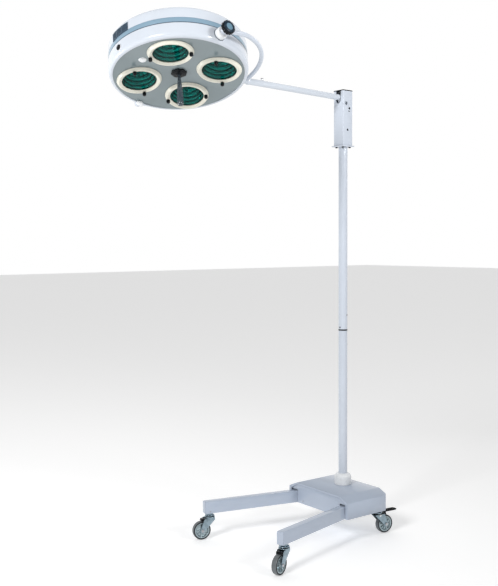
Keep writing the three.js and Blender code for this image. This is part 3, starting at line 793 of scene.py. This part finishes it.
def bracket():
    """A square tube with a slot for the arm, on a flange with a stub that turns in the post."""
    shell = column(HALF_BRACKET, BRACKET_LOW, BRACKET_TOP, 0)
    upright = [e for e in shell.edges if abs(e.verts[0].co.z - e.verts[1].co.z) > 10]
    rounded(shell, upright, BRACKET_FOLD, 5)
    housing = piece("bracket_body", shell, POST_WHITE, "bracket", "bracket_housing")
    inner = HALF_BRACKET - BRACKET_WALL
    bore = column(inner, BRACKET_LOW - 5, BRACKET_TOP + 5, 0)
    slot = [(SLOT_R, 50), (-SLOT_R, 50), *arc(0, 0, SLOT_R, 180, 360, 24)]
    stand = Matrix.Translation((0, 0, SLOT_FLOOR + SLOT_R)) @ ACROSS
    opening = moved(prism(slot, inner - 4, HALF_BRACKET + 10), stand)
    carved(housing, BRACKET, bore, opening)
    flange = column(FLANGE_HALF, FLANGE_LOW, BRACKET_LOW - 0.3, 1.4)
    low, high = FLANGE_LOW - STUB_LENGTH, FLANGE_LOW + 0.5
    stub = turned([(12, low), (STUB_R, low), (STUB_R, high), (12, high)], 64, True)
    plate = merged(flange, stub)
    piece("bracket_base_plate", plate, POST_WHITE, "bracket", "bracket_flange")
    lid = column(HALF_BRACKET + 0.8, BRACKET_TOP + 0.3, BRACKET_TOP + 2.8)
    crown = column(HALF_BRACKET - 1, BRACKET_TOP + 2.3, BRACKET_TOP + 4.3, 0.9)
    piece("bracket_top_cap", merged(lid, crown), BLACK, "bracket", "bracket_cap")


def bracket_fasteners():
    """Four hexagon bolts under the flange, the pin that the arm turns on, and the side screws."""
    bolts = []
    for x in (-FLANGE_BOLT, FLANGE_BOLT):
        for y in (-FLANGE_BOLT, FLANGE_BOLT):
            hexagon = prism(arc(0, 0, 5, 0, 300, 5), 0, 4.4, 0.5)
            bolts.append(moved(hexagon, spot(x, y, FLANGE_LOW + 0.2, -Z)))
    piece("flange_bolts", merged(*bolts), BLACK, "bracket")
    face = HALF_BRACKET + 0.3
    half = [(0, -face - 3), (4, -face - 3, 1), (6, -face - 1.7, 1), (6.5, -face), (4, -face)]
    pin = moved(turned(both_halves(half), 32), spot(ARM_PIVOT_X, 0, ARM_PIVOT_Z, Y))
    piece("arm_pivot", pin, DARK_STEEL, "bracket", "pivot_pin")
    for side, name in SIDES:
        heads = []
        for x, z, radius in BRACKET_SCREWS:
            place = spot(x, side * (HALF_BRACKET - 0.1), z, Y * side)
            heads.append(moved(screw_head(radius, 1.6), place))
        piece(f"bracket_screws_{name}", merged(*heads), BLACK, "bracket")


# ---- arm and yoke

ARM_RISE, ARM_REACH, ARM_RADIUS = 25, 515, 12
STUD_X = ARM_REACH - 85
YOKE_HALF, YOKE_STRAIGHT, YOKE_OVERRUN, YOKE_TUBE = 286, 16, 10, 8
YOKE_INSET, INSET_START, INSET_RUN = 10, 36, 70
YOKE_STEPS = 140
EYE_IN, EYE_OUT = YOKE_HALF - YOKE_INSET - YOKE_TUBE, YOKE_HALF - YOKE_INSET + YOKE_TUBE
YOKE_MIDDLE = Vector((-(YOKE_HALF + YOKE_STRAIGHT), 0, 0))


def arm():
    """The tube, and the forked knuckle on its pivot with the lever that pulls the spring rod."""
    body = [(-12, -8), (5, -9), (9, -3), (9, 36), (-4, 36), (-12, 15)]
    cheek = [(-26, -8), *body[:-1], (-10, 18), (-26, 8)]
    spans = ((-11, -5.4), (5.4, 11))
    cheeks = [moved(prism(cheek, low, high, bevel=0.8), UPRIGHT) for low, high in spans]
    web = moved(prism(body, -5.6, 5.6), UPRIGHT)
    end = ARM_REACH - 20
    tube = [(0, 4), (ARM_RADIUS, 4, 0.8), (ARM_RADIUS, end, 0.8), (10, end), (10, end - 25), (0, end - 25)]
    bar = merged(moved(turned(tube, 64), spot(0, 0, ARM_RISE, X)), *cheeks, web)
    piece("arm_tube", bar, WHITE, "arm", "arm")


def arm_stud():
    """The stop on top of the tube, with its black cap."""
    low = ARM_RISE + ARM_RADIUS
    top = low + 5.6
    stand = Matrix.Translation((STUD_X, 0, 0))
    stud = [(0, low - 4), (3, low - 4), (3, low + 0.4), (6, low + 0.4, 0.6), (6, top, 0.8), (0, top)]
    piece("arm_stop_stud", moved(turned(stud, 32), stand), WHITE_PLASTIC, "arm", "arm_stud")
    cap = [(0, low + 5.7), (5, low + 5.7, 0.5), (5, low + 8.2, 1), (0, low + 9)]
    piece("arm_stud_cap", moved(turned(cap, 32), stand), BLACK, "arm")


def yoke_point(s, length):
    """A point of the ring's middle line, a distance along it from the knob's end."""
    end = YOKE_STRAIGHT + YOKE_OVERRUN
    eased = min(max((min(s, length - s) - INSET_START) / INSET_RUN, 0), 1)
    pull = YOKE_INSET * (1 + cos(pi * eased)) / 2
    if s < end:
        return Vector((YOKE_OVERRUN - s, YOKE_HALF - pull, 0))
    if s > length - end:
        return Vector((s - length + YOKE_OVERRUN, pull - YOKE_HALF, 0))
    angle = pi / 2 + (s - end) / YOKE_HALF
    y = YOKE_HALF * sin(angle)
    return Vector((YOKE_HALF * cos(angle) - YOKE_STRAIGHT, y - copysign(pull, y), 0))


def yoke():
    """The half ring with an eye at each end for the head's pivots."""
    length = 2 * (YOKE_STRAIGHT + YOKE_OVERRUN) + pi * YOKE_HALF
    path = [yoke_point(length * i / YOKE_STEPS, length) for i in range(YOKE_STEPS + 1)]
    parts = [swept(path, YOKE_TUBE, 32)]
    for low, high in ((-EYE_OUT, -EYE_IN), (EYE_IN, EYE_OUT)):
        eye = [(5.4, low), (12, low, 1.2), (12, high, 1.2), (5.4, high)]
        parts.append(moved(turned(eye, 48, True), spot(0, 0, 0, Y)))
    piece("yoke_ring", merged(*parts), POST_WHITE, "yoke", "yoke")


def yoke_socket():
    """The swivel at the arm's end, with the clamp that holds the ring."""
    shank = [
        (0, -46), (9.7, -46), (9.7, -19.6), (13.2, -19.6, 1), (13.5, -12, 1.5), (11.5, -5, 3), (10, 3, 2),
        (0, 4),
    ]
    body = moved(turned(shank, 64), spot(*YOKE_MIDDLE, X))
    clamp = moved(block((-9, -8, 6), (7, 8, 13), 2.0), Matrix.Translation(YOKE_MIDDLE))
    piece("arm_end_socket", merged(body, clamp), WHITE, "yoke", "yoke_socket")


# ---- the shell of the lamp head

HEAD_R, SEAM, EDGE, LIP, LIP_R = 246.5, 29.4, 96, -22.3, 235.5
HEAD_TURNS = 160
STRIPE_LOW, STRIPE_TOP = SEAM + 3, SEAM + 20
TURN_IN_STEPS = 14
LAMP_ORBIT, LAMP_PLANE, LAMP_TILT = 144, -16, radians(4)
LAMPS = {"front_left": 45, "rear_left": 135, "rear_right": 225, "front_right": 315}
OPENING, BEZEL_R, BEZEL_H = 62, 80, 12
DOWN = -Z
BELOW = Matrix.Rotation(pi, 4, "X")


def head_cover():
    """The upper half: a shallow dome with a blue stripe round its foot and a gasket in the seam."""
    outside = [
        (HEAD_R, STRIPE_TOP + 0.2), (HEAD_R, EDGE - 0.8, 22), (HEAD_R - 40, EDGE + 1.7, 30),
        (130, EDGE + 8.2, 60), (0, EDGE + 12.2),
    ]
    inside = [
        (0, EDGE + 10), (130, EDGE + 6), (HEAD_R - 30, EDGE - 0.8, 12), (HEAD_R - 2, EDGE - 4, 16),
        (HEAD_R - 2, STRIPE_TOP + 0.2),
    ]
    dome = lathe(softened(outside, steps=10) + softened(inside, steps=8), HEAD_TURNS, True)
    piece("head_cover", dome, WHITE, "head", "top_cover")
    inner, outer = HEAD_R - 2, HEAD_R - 0.2
    stripe = [(inner, STRIPE_LOW), (outer, STRIPE_LOW, 0.5), (outer, STRIPE_TOP, 0.5), (inner, STRIPE_TOP)]
    piece("head_stripe", turned(stripe, HEAD_TURNS, True), STRIPE_BLUE, "head")
    inner, outer = HEAD_R - 4, HEAD_R - 0.5
    seam = [(inner, SEAM - 0.1), (outer, SEAM - 0.1), (outer, SEAM + 2.9), (inner, SEAM + 2.9)]
    piece("head_seam_gasket", turned(seam, HEAD_TURNS, True), GASKET_AND_SHADE, "head")


def head_lower_ring():
    """The lower half: a ring that turns in to a lip round the reflector cover."""
    turn_in = []
    for i in range(TURN_IN_STEPS + 1):
        angle = pi / 2 * i / TURN_IN_STEPS
        turn_in.append((LIP_R + (HEAD_R - LIP_R) * cos(angle), -8 + (LIP + 8) * sin(angle)))
    ring = [
        (HEAD_R - 3, SEAM - 0.2), (HEAD_R, SEAM - 0.2, 0.6), *turn_in, (LIP_R - 3.8, LIP, 1.5),
        (LIP_R - 3.8, LIP + 12, 1), (LIP_R - 1.5, LIP + 12), (LIP_R, LIP + 3), (HEAD_R - 6, LIP + 6),
        (HEAD_R - 3, LIP + 16),
    ]
    piece("head_lower_ring", turned(ring, HEAD_TURNS, True, 6), WHITE, "head", "lower_ring")


# ---- the reflector cover

PAN_R = LIP_R - 4.2
PAN_SHEET = 1.6
PAN_HOLE = OPENING + 2.5
PAN_ROWS, PAN_RAYS = 14, 96
CREASE = 0.5


def facet_height(x, y):
    """The lower face of the cover: the lowest of four planes, one under each lamp."""
    heights = []
    for degrees in LAMPS.values():
        ux, uy = cos(radians(degrees)), sin(radians(degrees))
        heights.append(LAMP_PLANE - tan(LAMP_TILT) * (x * ux + y * uy - LAMP_ORBIT))
    low = min(heights)
    return low - CREASE * log(sum(exp(-(h - low) / CREASE) for h in heights))


def pan_edge(angle):
    """How far a quarter of the pan reaches from its lamp's centre, in a direction."""
    dx, dy = cos(angle), sin(angle)
    along = LAMP_ORBIT * dx
    reach = sqrt(along**2 + PAN_R**2 - LAMP_ORBIT**2) - along
    for side in (-1, 1):
        # The straight edges run from the head's axis at 45 degrees to the lamp's own direction.
        closing = side * dy - dx
        if closing > 1e-9:
            reach = min(reach, LAMP_ORBIT / closing)
    return reach


def pan_rays():
    """Even directions round a lamp's centre, and those of its quarter's three outer corners."""
    corner = PAN_R / sqrt(2)
    outer = atan2(corner, corner - LAMP_ORBIT)
    even = [2 * pi * i / PAN_RAYS for i in range(PAN_RAYS)]
    return sorted({*even, outer, 2 * pi - outer, pi})


def thickened(bm, height):
    """Gives a sheet a second face above the first, and walls round its edges."""
    bm.verts.index_update()
    sheet = list(bm.faces)
    rims = [edge for edge in bm.edges if len(edge.link_faces) == 1]
    high = [bm.verts.new(vert.co + Z * height) for vert in list(bm.verts)]
    for face in sheet:
        bm.faces.new([high[vert.index] for vert in face.verts])
    for edge in rims:
        start, end = edge.verts
        bm.faces.new((start, end, high[end.index], high[start.index]))


def reflector_cover():
    """A pressed sheet of four facets that meet in soft creases, with a hole for each lamp."""
    angles = pan_rays()
    bm = bmesh.new()
    for degrees in LAMPS.values():
        turn = radians(degrees)
        rings = []
        for k in range(PAN_ROWS + 1):
            ring = []
            for angle in angles:
                reach = PAN_HOLE + (pan_edge(angle) - PAN_HOLE) * k / PAN_ROWS
                u, v = LAMP_ORBIT + reach * cos(angle), reach * sin(angle)
                x = u * cos(turn) - v * sin(turn)
                y = u * sin(turn) + v * cos(turn)
                ring.append(bm.verts.new((x, y, facet_height(x, y))))
            rings.append(ring)
        bridged(bm, rings)
    bmesh.ops.remove_doubles(bm, verts=bm.verts, dist=0.02)
    thickened(bm, PAN_SHEET)
    # The cover's darker grey is painted shade for the underside of the head.
    piece("reflector_pan", bm, COVER_SHADED_GREY, "head", "reflector_cover", sharp=60)


# ---- lamps

REFLECTOR_BANDS, ROWS_PER_BAND, REFLECTOR_TURNS = 5, 8, 96
REFLECTOR_NECK, REFLECTOR_DEPTH, BAND_BULGE = 9, 61, 2.6
SCREW_FLUTES = 12


def lamp_place(tag):
    """A lamp's own frame: at the cover's face, X away from the middle, Z out of the head."""
    out = Vector(around(1, LAMPS[tag], 0))
    axis = DOWN * cos(LAMP_TILT) - out * sin(LAMP_TILT)
    away = (out - axis * out.dot(axis)).normalized()
    turn = Matrix((away, axis.cross(away), axis)).transposed().to_4x4()
    return Matrix.Translation(around(LAMP_ORBIT, LAMPS[tag], LAMP_PLANE)) @ turn


def lamp_bezel():
    ring = [
        (OPENING, 1.0), (BEZEL_R, 0.4, 0.6), (BEZEL_R, 3.0, 1), (BEZEL_R - 2, 5.0, 1), (BEZEL_R - 4, 9.0, 3),
        (BEZEL_R - 7, BEZEL_H, 2.5), (BEZEL_R - 10, BEZEL_H - 0.5, 1.5), (OPENING + 2.5, 7.4, 1),
        (OPENING, 6.4, 0.6),
    ]
    return turned(ring, 96, True, 5)


def lamp_filter():
    """A disc of glass with two shallow pressed steps inside."""
    edge = OPENING - 0.6
    back = [(0, 1.2), (18, 1.6), (22, 2.2, 2), (36, 2.0), (40, 2.6, 2), (edge, 2.6, 0.4)]
    return turned([*back, (edge, 4.6, 0.6), (edge - 6, 5.0), (0, 5.6)], 96, steps=5)


def lamp_reflector():
    """A stepped bowl: broad bands that bulge a little, with a small shoulder between them."""
    span = OPENING - 1.5 - REFLECTOR_NECK
    rows = REFLECTOR_BANDS * ROWS_PER_BAND
    bowl = []
    for k in range(rows + 1):
        bulge = BAND_BULGE * sin(pi * (k % ROWS_PER_BAND) / ROWS_PER_BAND)
        radius = REFLECTOR_NECK + span * sqrt(k / rows) - bulge
        bowl.append((radius, -REFLECTOR_DEPTH * (1 - k / rows)))
    shell = [(r + 1.2, z - 0.4) for r, z in reversed(bowl)]
    return lathe(bowl + shell, REFLECTOR_TURNS, True)


def shaded_step_rows():
    """The shoulders between the bands are painted dark: painted shade for their shadowed steps. The back has
    such rows as well.
    """
    rows = 2 * (REFLECTOR_BANDS * ROWS_PER_BAND + 1)
    return [row % ROWS_PER_BAND in (0, ROWS_PER_BAND - 1) for row in range(rows)]


def lamps():
    envelope = [(0, -52), (5, -52), (6, -44, 2), (6.5, -24, 3), (4, -16, 4), (0, -14)]
    holder = [(0, -66), (8.4, -66, 1), (8.4, -54, 1), (6, -52, 1), (0, -52)]
    for tag in LAMPS:
        place = HEAD @ lamp_place(tag)
        piece(f"lamp_bezel_{tag}", lamp_bezel(), IVORY, "head", f"bezel_{tag}", place)
        piece(f"lamp_filter_{tag}", lamp_filter(), GREEN, "head", f"filter_{tag}", place)
        bowl = lamp_reflector()
        mirror = piece(f"lamp_reflector_{tag}", bowl, MIRROR, "head", f"reflector_{tag}", place, sharp=12)
        # The shoulder rows get the painted step shade.
        second_material(mirror, STEP_SHADE, REFLECTOR_TURNS, shaded_step_rows())
        piece(f"lamp_bulb_{tag}", turned(envelope, 32), BULB, "head", place=place)
        piece(f"lamp_holder_{tag}", turned(holder, 32), CERAMIC, "head", place=place)
        thumbscrews(tag, place)


def thumbscrews(tag, place):
    """Two black knurled screws hold each bezel."""
    outline = fluted(2 * SCREW_FLUTES, lambda angle: 6.7 - 0.3 * cos(SCREW_FLUTES * angle))
    for side, name in ((1, "a"), (-1, "b")):
        stem = turned([(0, 6), (3.2, 6), (3.2, 13.5), (0, 13.5)], 24)
        crown = turned([(0, 21), (6.2, 21, 1), (6.0, 24, 2), (4, 25, 2), (0, 25.4)], 32)
        knob = merged(prism(outline, 12.8, 22, 0.7), stem, crown)
        stand = place @ Matrix.Translation((0, side * 70.5, 0))
        piece(f"bezel_screw_{tag}_{name}", knob, BLACK, "head", place=stand)


# ---- fittings of the head

PLUG_AT, LATCH_AT = (157, 4), (229, -84)
KNOB_START, KNOB_R, KNOB_FLUTES = EYE_OUT + 0.3, 24, 12
BOSS_R = 20
VENT_START, VENT_END, VENT_LOW, VENT_HIGH = -7.5, 13.5, 47.5, 78
VENT_COLUMNS, VENT_ROWS, VENT_MARGIN, LOUVRE_SLANT = 3, 6, 3.5, 0.12
SWITCH_DEGREES, SWITCH_HEIGHT = 1.8, 4


def cover_fittings():
    """A round plug in the reflector cover, and a latch on its rim."""
    x, y, _ = around(*PLUG_AT, 0)
    dome = [(0, -1), (14, -1), (14, 1, 0.8), (10.5, 4.6, 4), (0, 6)]
    plug = moved(turned(dome, 64), spot(x, y, facet_height(x, y), DOWN))
    piece("cover_plug", plug, WHITE_PLASTIC, "head")
    latch = block((-6, -12, -3), (6, 12, 6.5), 3.0, 4)
    turn = Matrix.Rotation(radians(-LATCH_AT[1]), 4, "Z")
    placed = moved(latch, spot(*around(*LATCH_AT, LIP + 1), DOWN) @ turn)
    piece("rim_latch", placed, WHITE_PLASTIC, "head")


def hub_and_handle():
    """The lobed hub in the middle of the cover, and the handle that turns in it."""
    lobes = fluted(96, lambda angle: 27.2 + 1.2 * cos(8 * angle))
    disc = prism(lobes, 8.4, 13, bevel=1.2, segments=3)
    cone = [(0, 12), (24, 12), (20, 14.5, 2), (11, 15.5, 2), (9, 17.4, 1), (7, 17.4), (7, 9.2), (0, 9.2)]
    stem = lathe([(0, -10), (10, -10), (10, 9.4), (0, 9.4)], 48)
    hub = moved(merged(disc, turned(cone), stem), BELOW)
    piece("hub_ring", hub, BLACK, "head", "centre_hub")
    grip = [
        (0, 10), (4.5, 10), (6, 12, 1), (5.6, 16, 1), (5, 24, 2), (5.4, 34, 4), (8.2, 58, 10), (10, 84, 14),
        (11, 112, 10), (11, 133, 2), (9.2, 138, 2), (0, 139.6),
    ]
    piece("focus_handle", moved(turned(grip, 64, steps=6), BELOW), GRIP, "handle", "handle")


def pivot_bosses():
    """The boss on each side of the head, which follows the drum, and the bolt opposite the knob."""
    start, end = HEAD_R - 4, EYE_IN - 0.4
    profile = [(0, start), (BOSS_R, start), (BOSS_R, end - 3, 2.5), (17, end, 2.5), (0, end)]
    foot = [(20.1, start), (21.6, start), (21.6, HEAD_R + 1.4, 0.6), (20.1, HEAD_R + 1.6)]
    drum = [(0, -60), (HEAD_R + 0.2, -60), (HEAD_R + 0.2, 60), (0, 60)]
    for side, name in SIDES:
        place = spot(0, 0, 0, Y * side)
        boss = moved(turned(profile, 64), place)
        made = piece(f"pivot_boss_{name}", boss, WHITE_PLASTIC, "head", f"boss_{name}", TILT_FRAME)
        # A dark ring round the foot of each boss: painted shadow where the boss meets the head.
        collar = moved(turned(foot, 64, True), place)
        dark_ring = piece(f"boss_shadow_ring_{name}", collar, GASKET_AND_SHADE, "head", place=TILT_FRAME)
        for target in (made, dark_ring):
            carved(target, TILT_FRAME, lathe(drum, HEAD_TURNS))
    low, tip = EYE_IN - 2, EYE_OUT + 0.3
    shank = [(0, low), (4.9, low), (4.9, tip), (10, tip, 0.8)]
    bolt = moved(turned([*shank, (10, tip + 3, 2), (6, tip + 5, 2), (0, tip + 5)], 32), spot(0, 0, 0, -Y))
    piece("pivot_bolt_right", bolt, STEEL, "head", place=TILT_FRAME)


def knob_radius(angle):
    return KNOB_R - 1.7 * max(0.0, cos(KNOB_FLUTES * angle)) ** 2


def tilt_knob():
    """A fluted clamp knob with a darker dished face and a pale inset."""
    start = KNOB_START
    outward = spot(0, 0, 0, Y)
    grip = prism(fluted(KNOB_FLUTES * 8, knob_radius), start + 3, start + 18, bevel=1.6, segments=3)
    skirt = turned([(0, start), (14, start, 1), (16, start + 3.5, 1), (0, start + 3.5)], 48)
    screw = lathe([(0, start - 33), (4.9, start - 33), (4.9, start + 1), (0, start + 1)], 32)
    knob = moved(merged(grip, skirt, screw), outward)
    piece("tilt_lock_knob", knob, BLACK, "knob", "tilt_knob")
    face = [
        (0, start + 17), (21.5, start + 17), (21.5, start + 18.6, 1), (18, start + 20.6, 2),
        (13.4, start + 20.8, 0.6), (13.4, start + 17.4), (0, start + 17.4),
    ]
    piece("knob_face_ring", moved(turned(face, 64, True), outward), KNOB_FACE, "knob")
    inset = [(0, start + 17.6), (12.9, start + 17.6), (12.9, start + 19.6, 0.6), (0, start + 20.2)]
    piece("knob_inset_disc", moved(turned(inset, 64), outward), INSET_BLUE, "knob")


def vent():
    """A slotted panel that follows the wall of the cover, with slanting louvres."""
    near, far = HEAD_R + 0.2, HEAD_R + 1.9
    outline = arc(0, 0, far, VENT_START, VENT_END, 40) + arc(0, 0, near, VENT_END, VENT_START, 40)
    panel = prism(outline, VENT_LOW, VENT_HIGH, bevel=0.5)
    made = piece("vent_panel", panel, VENT_GREY, "head", "vent_grille")
    height = VENT_HIGH - VENT_LOW - 2 * VENT_MARGIN
    slots = []
    for i in range(VENT_COLUMNS):
        middle = VENT_START + (VENT_END - VENT_START) * (i + 0.5) / VENT_COLUMNS
        turn = Matrix.Rotation(radians(middle), 4, "Z") @ Matrix.Rotation(LOUVRE_SLANT, 4, "X")
        for k in range(VENT_ROWS):
            z = VENT_LOW + VENT_MARGIN + height * (k + 0.5) / VENT_ROWS
            cutter = block((-1.2, -12.5, -0.9), (4, 12.5, 0.9), 0.4, 2)
            slots.append(moved(cutter, Matrix.Translation(around(far, middle, z)) @ turn))
    carved(made, HEAD, merged(*slots))


def power_switch():
    """A round rocker in a thin bezel on the lower ring."""
    out = Vector(around(1, SWITCH_DEGREES, 0))
    outward = spot(*around(HEAD_R, SWITCH_DEGREES, SWITCH_HEIGHT), out)
    bezel = turned([(10.4, -1), (12.4, -1), (12.2, 1.0, 0.6), (10.6, 1.4, 0.4)], 64, True)
    piece("switch_frame", moved(bezel, outward), WHITE_PLASTIC, "head")
    rocker = turned([(0, 1.6), (10, 1.6), (10, 3.6, 0.8), (8, 5.4, 2), (0, 5.2)], 64)
    piece("switch_rocker", moved(rocker, outward), BLACK, "switch", "head_switch")


# ---- CAD nodes that stay

KEPT = (
    (BASE_GREY, ("bottom_plate", "rear_beam")),
    (IRON, ("counterweight",)),
    (STEEL, ("transformer", "post_socket", "balance_spring", "spring_rod")),
)


def dress_kept_nodes():
    for material, names in KEPT:
        for name in names:
            node = frame["nodes"][name]
            node.data.materials.clear()
            node.data.materials.append(material)


# ---- floor and light

FLOOR_SIZE, FLOOR_DROP = 30, 0.0005
FLOOR_PAINT, FLOOR_GLOW = 0.9, 0.3
WALL_DIRECTION = (-0.6, -0.8, 0.0)
RAMP = {"From Min": 0.1, "From Max": 0.8, "To Min": 0.3, "To Max": 1.0}

# Name, place, point that it faces, width in metres, power in watts and spread in degrees.
AREA_LIGHTS = (
    ("key", (5.0, 1.6, 4.3), (0, 0, 0.9), 1.6, 205, 180),
    ("rim", (-1.2, 3.8, 3.0), (0.2, 0, 1.8), 1.2, 12, 60),
    ("low_fill", (2.9, -1.9, 1.0), (0.5, 0, 1.8), 0.5, 1.2, 30),
)


def stage():
    """A pale floor that glows a little, as under an even studio light."""
    bm = bmesh.new()
    bmesh.ops.create_grid(bm, x_segments=1, y_segments=1, size=FLOOR_SIZE)
    floor = new_object("floor", bm)
    floor.location.z = -FLOOR_DROP
    paint = Nodes("floor_paint")
    paint.set(Base_Color=(FLOOR_PAINT, FLOOR_PAINT, FLOOR_PAINT, 1), Roughness=0.9)
    paint.set(Emission_Color=(1, 1, 1, 1), Emission_Strength=FLOOR_GLOW)
    paint.material.cycles.emission_sampling = "NONE"
    floor.data.materials.append(paint.material)


def area_light(name, place, aim, size, power, spread):
    data = bpy.data.lights.new(name, "AREA")
    data.shape = "DISK"
    data.size = size
    data.energy = power
    data.spread = radians(spread)
    lamp = placed(name, data)
    lamp.location = place
    lamp.rotation_euler = (Vector(aim) - Vector(place)).to_track_quat("-Z", "Y").to_euler()


def surroundings():
    """A white wall behind the object and a dimmer room in front of it."""
    world = bpy.data.worlds.new("studio")
    world.use_nodes = True
    tree = world.node_tree
    background = tree.nodes["Background"]
    background.inputs["Strength"].default_value = 1.0
    bpy.context.scene.world = world
    direction = tree.nodes.new("ShaderNodeTexCoord").outputs["Generated"]
    wall = tree.nodes.new("ShaderNodeVectorMath")
    wall.operation = "DOT_PRODUCT"
    wall.inputs[1].default_value = WALL_DIRECTION
    ramp = tree.nodes.new("ShaderNodeMapRange")
    ramp.interpolation_type = "SMOOTHSTEP"
    for name, value in RAMP.items():
        ramp.inputs[name].default_value = value
    tree.links.new(direction, wall.inputs[0])
    tree.links.new(wall.outputs["Value"], ramp.inputs["Value"])
    tree.links.new(ramp.outputs["Result"], background.inputs["Color"])


def lights():
    bpy.context.scene.view_settings.view_transform = "Standard"
    surroundings()
    for light in AREA_LIGHTS:
        area_light(*light)


make_camera()
base_hood()
base_front()
legs()
post()
mains_gland()
casters()
bracket()
bracket_fasteners()
arm()
arm_stud()
yoke()
yoke_socket()
head_cover()
head_lower_ring()
reflector_cover()
lamps()
cover_fittings()
hub_and_handle()
pivot_bosses()
tilt_knob()
vent()
power_switch()
dress_kept_nodes()
stage()
lights()
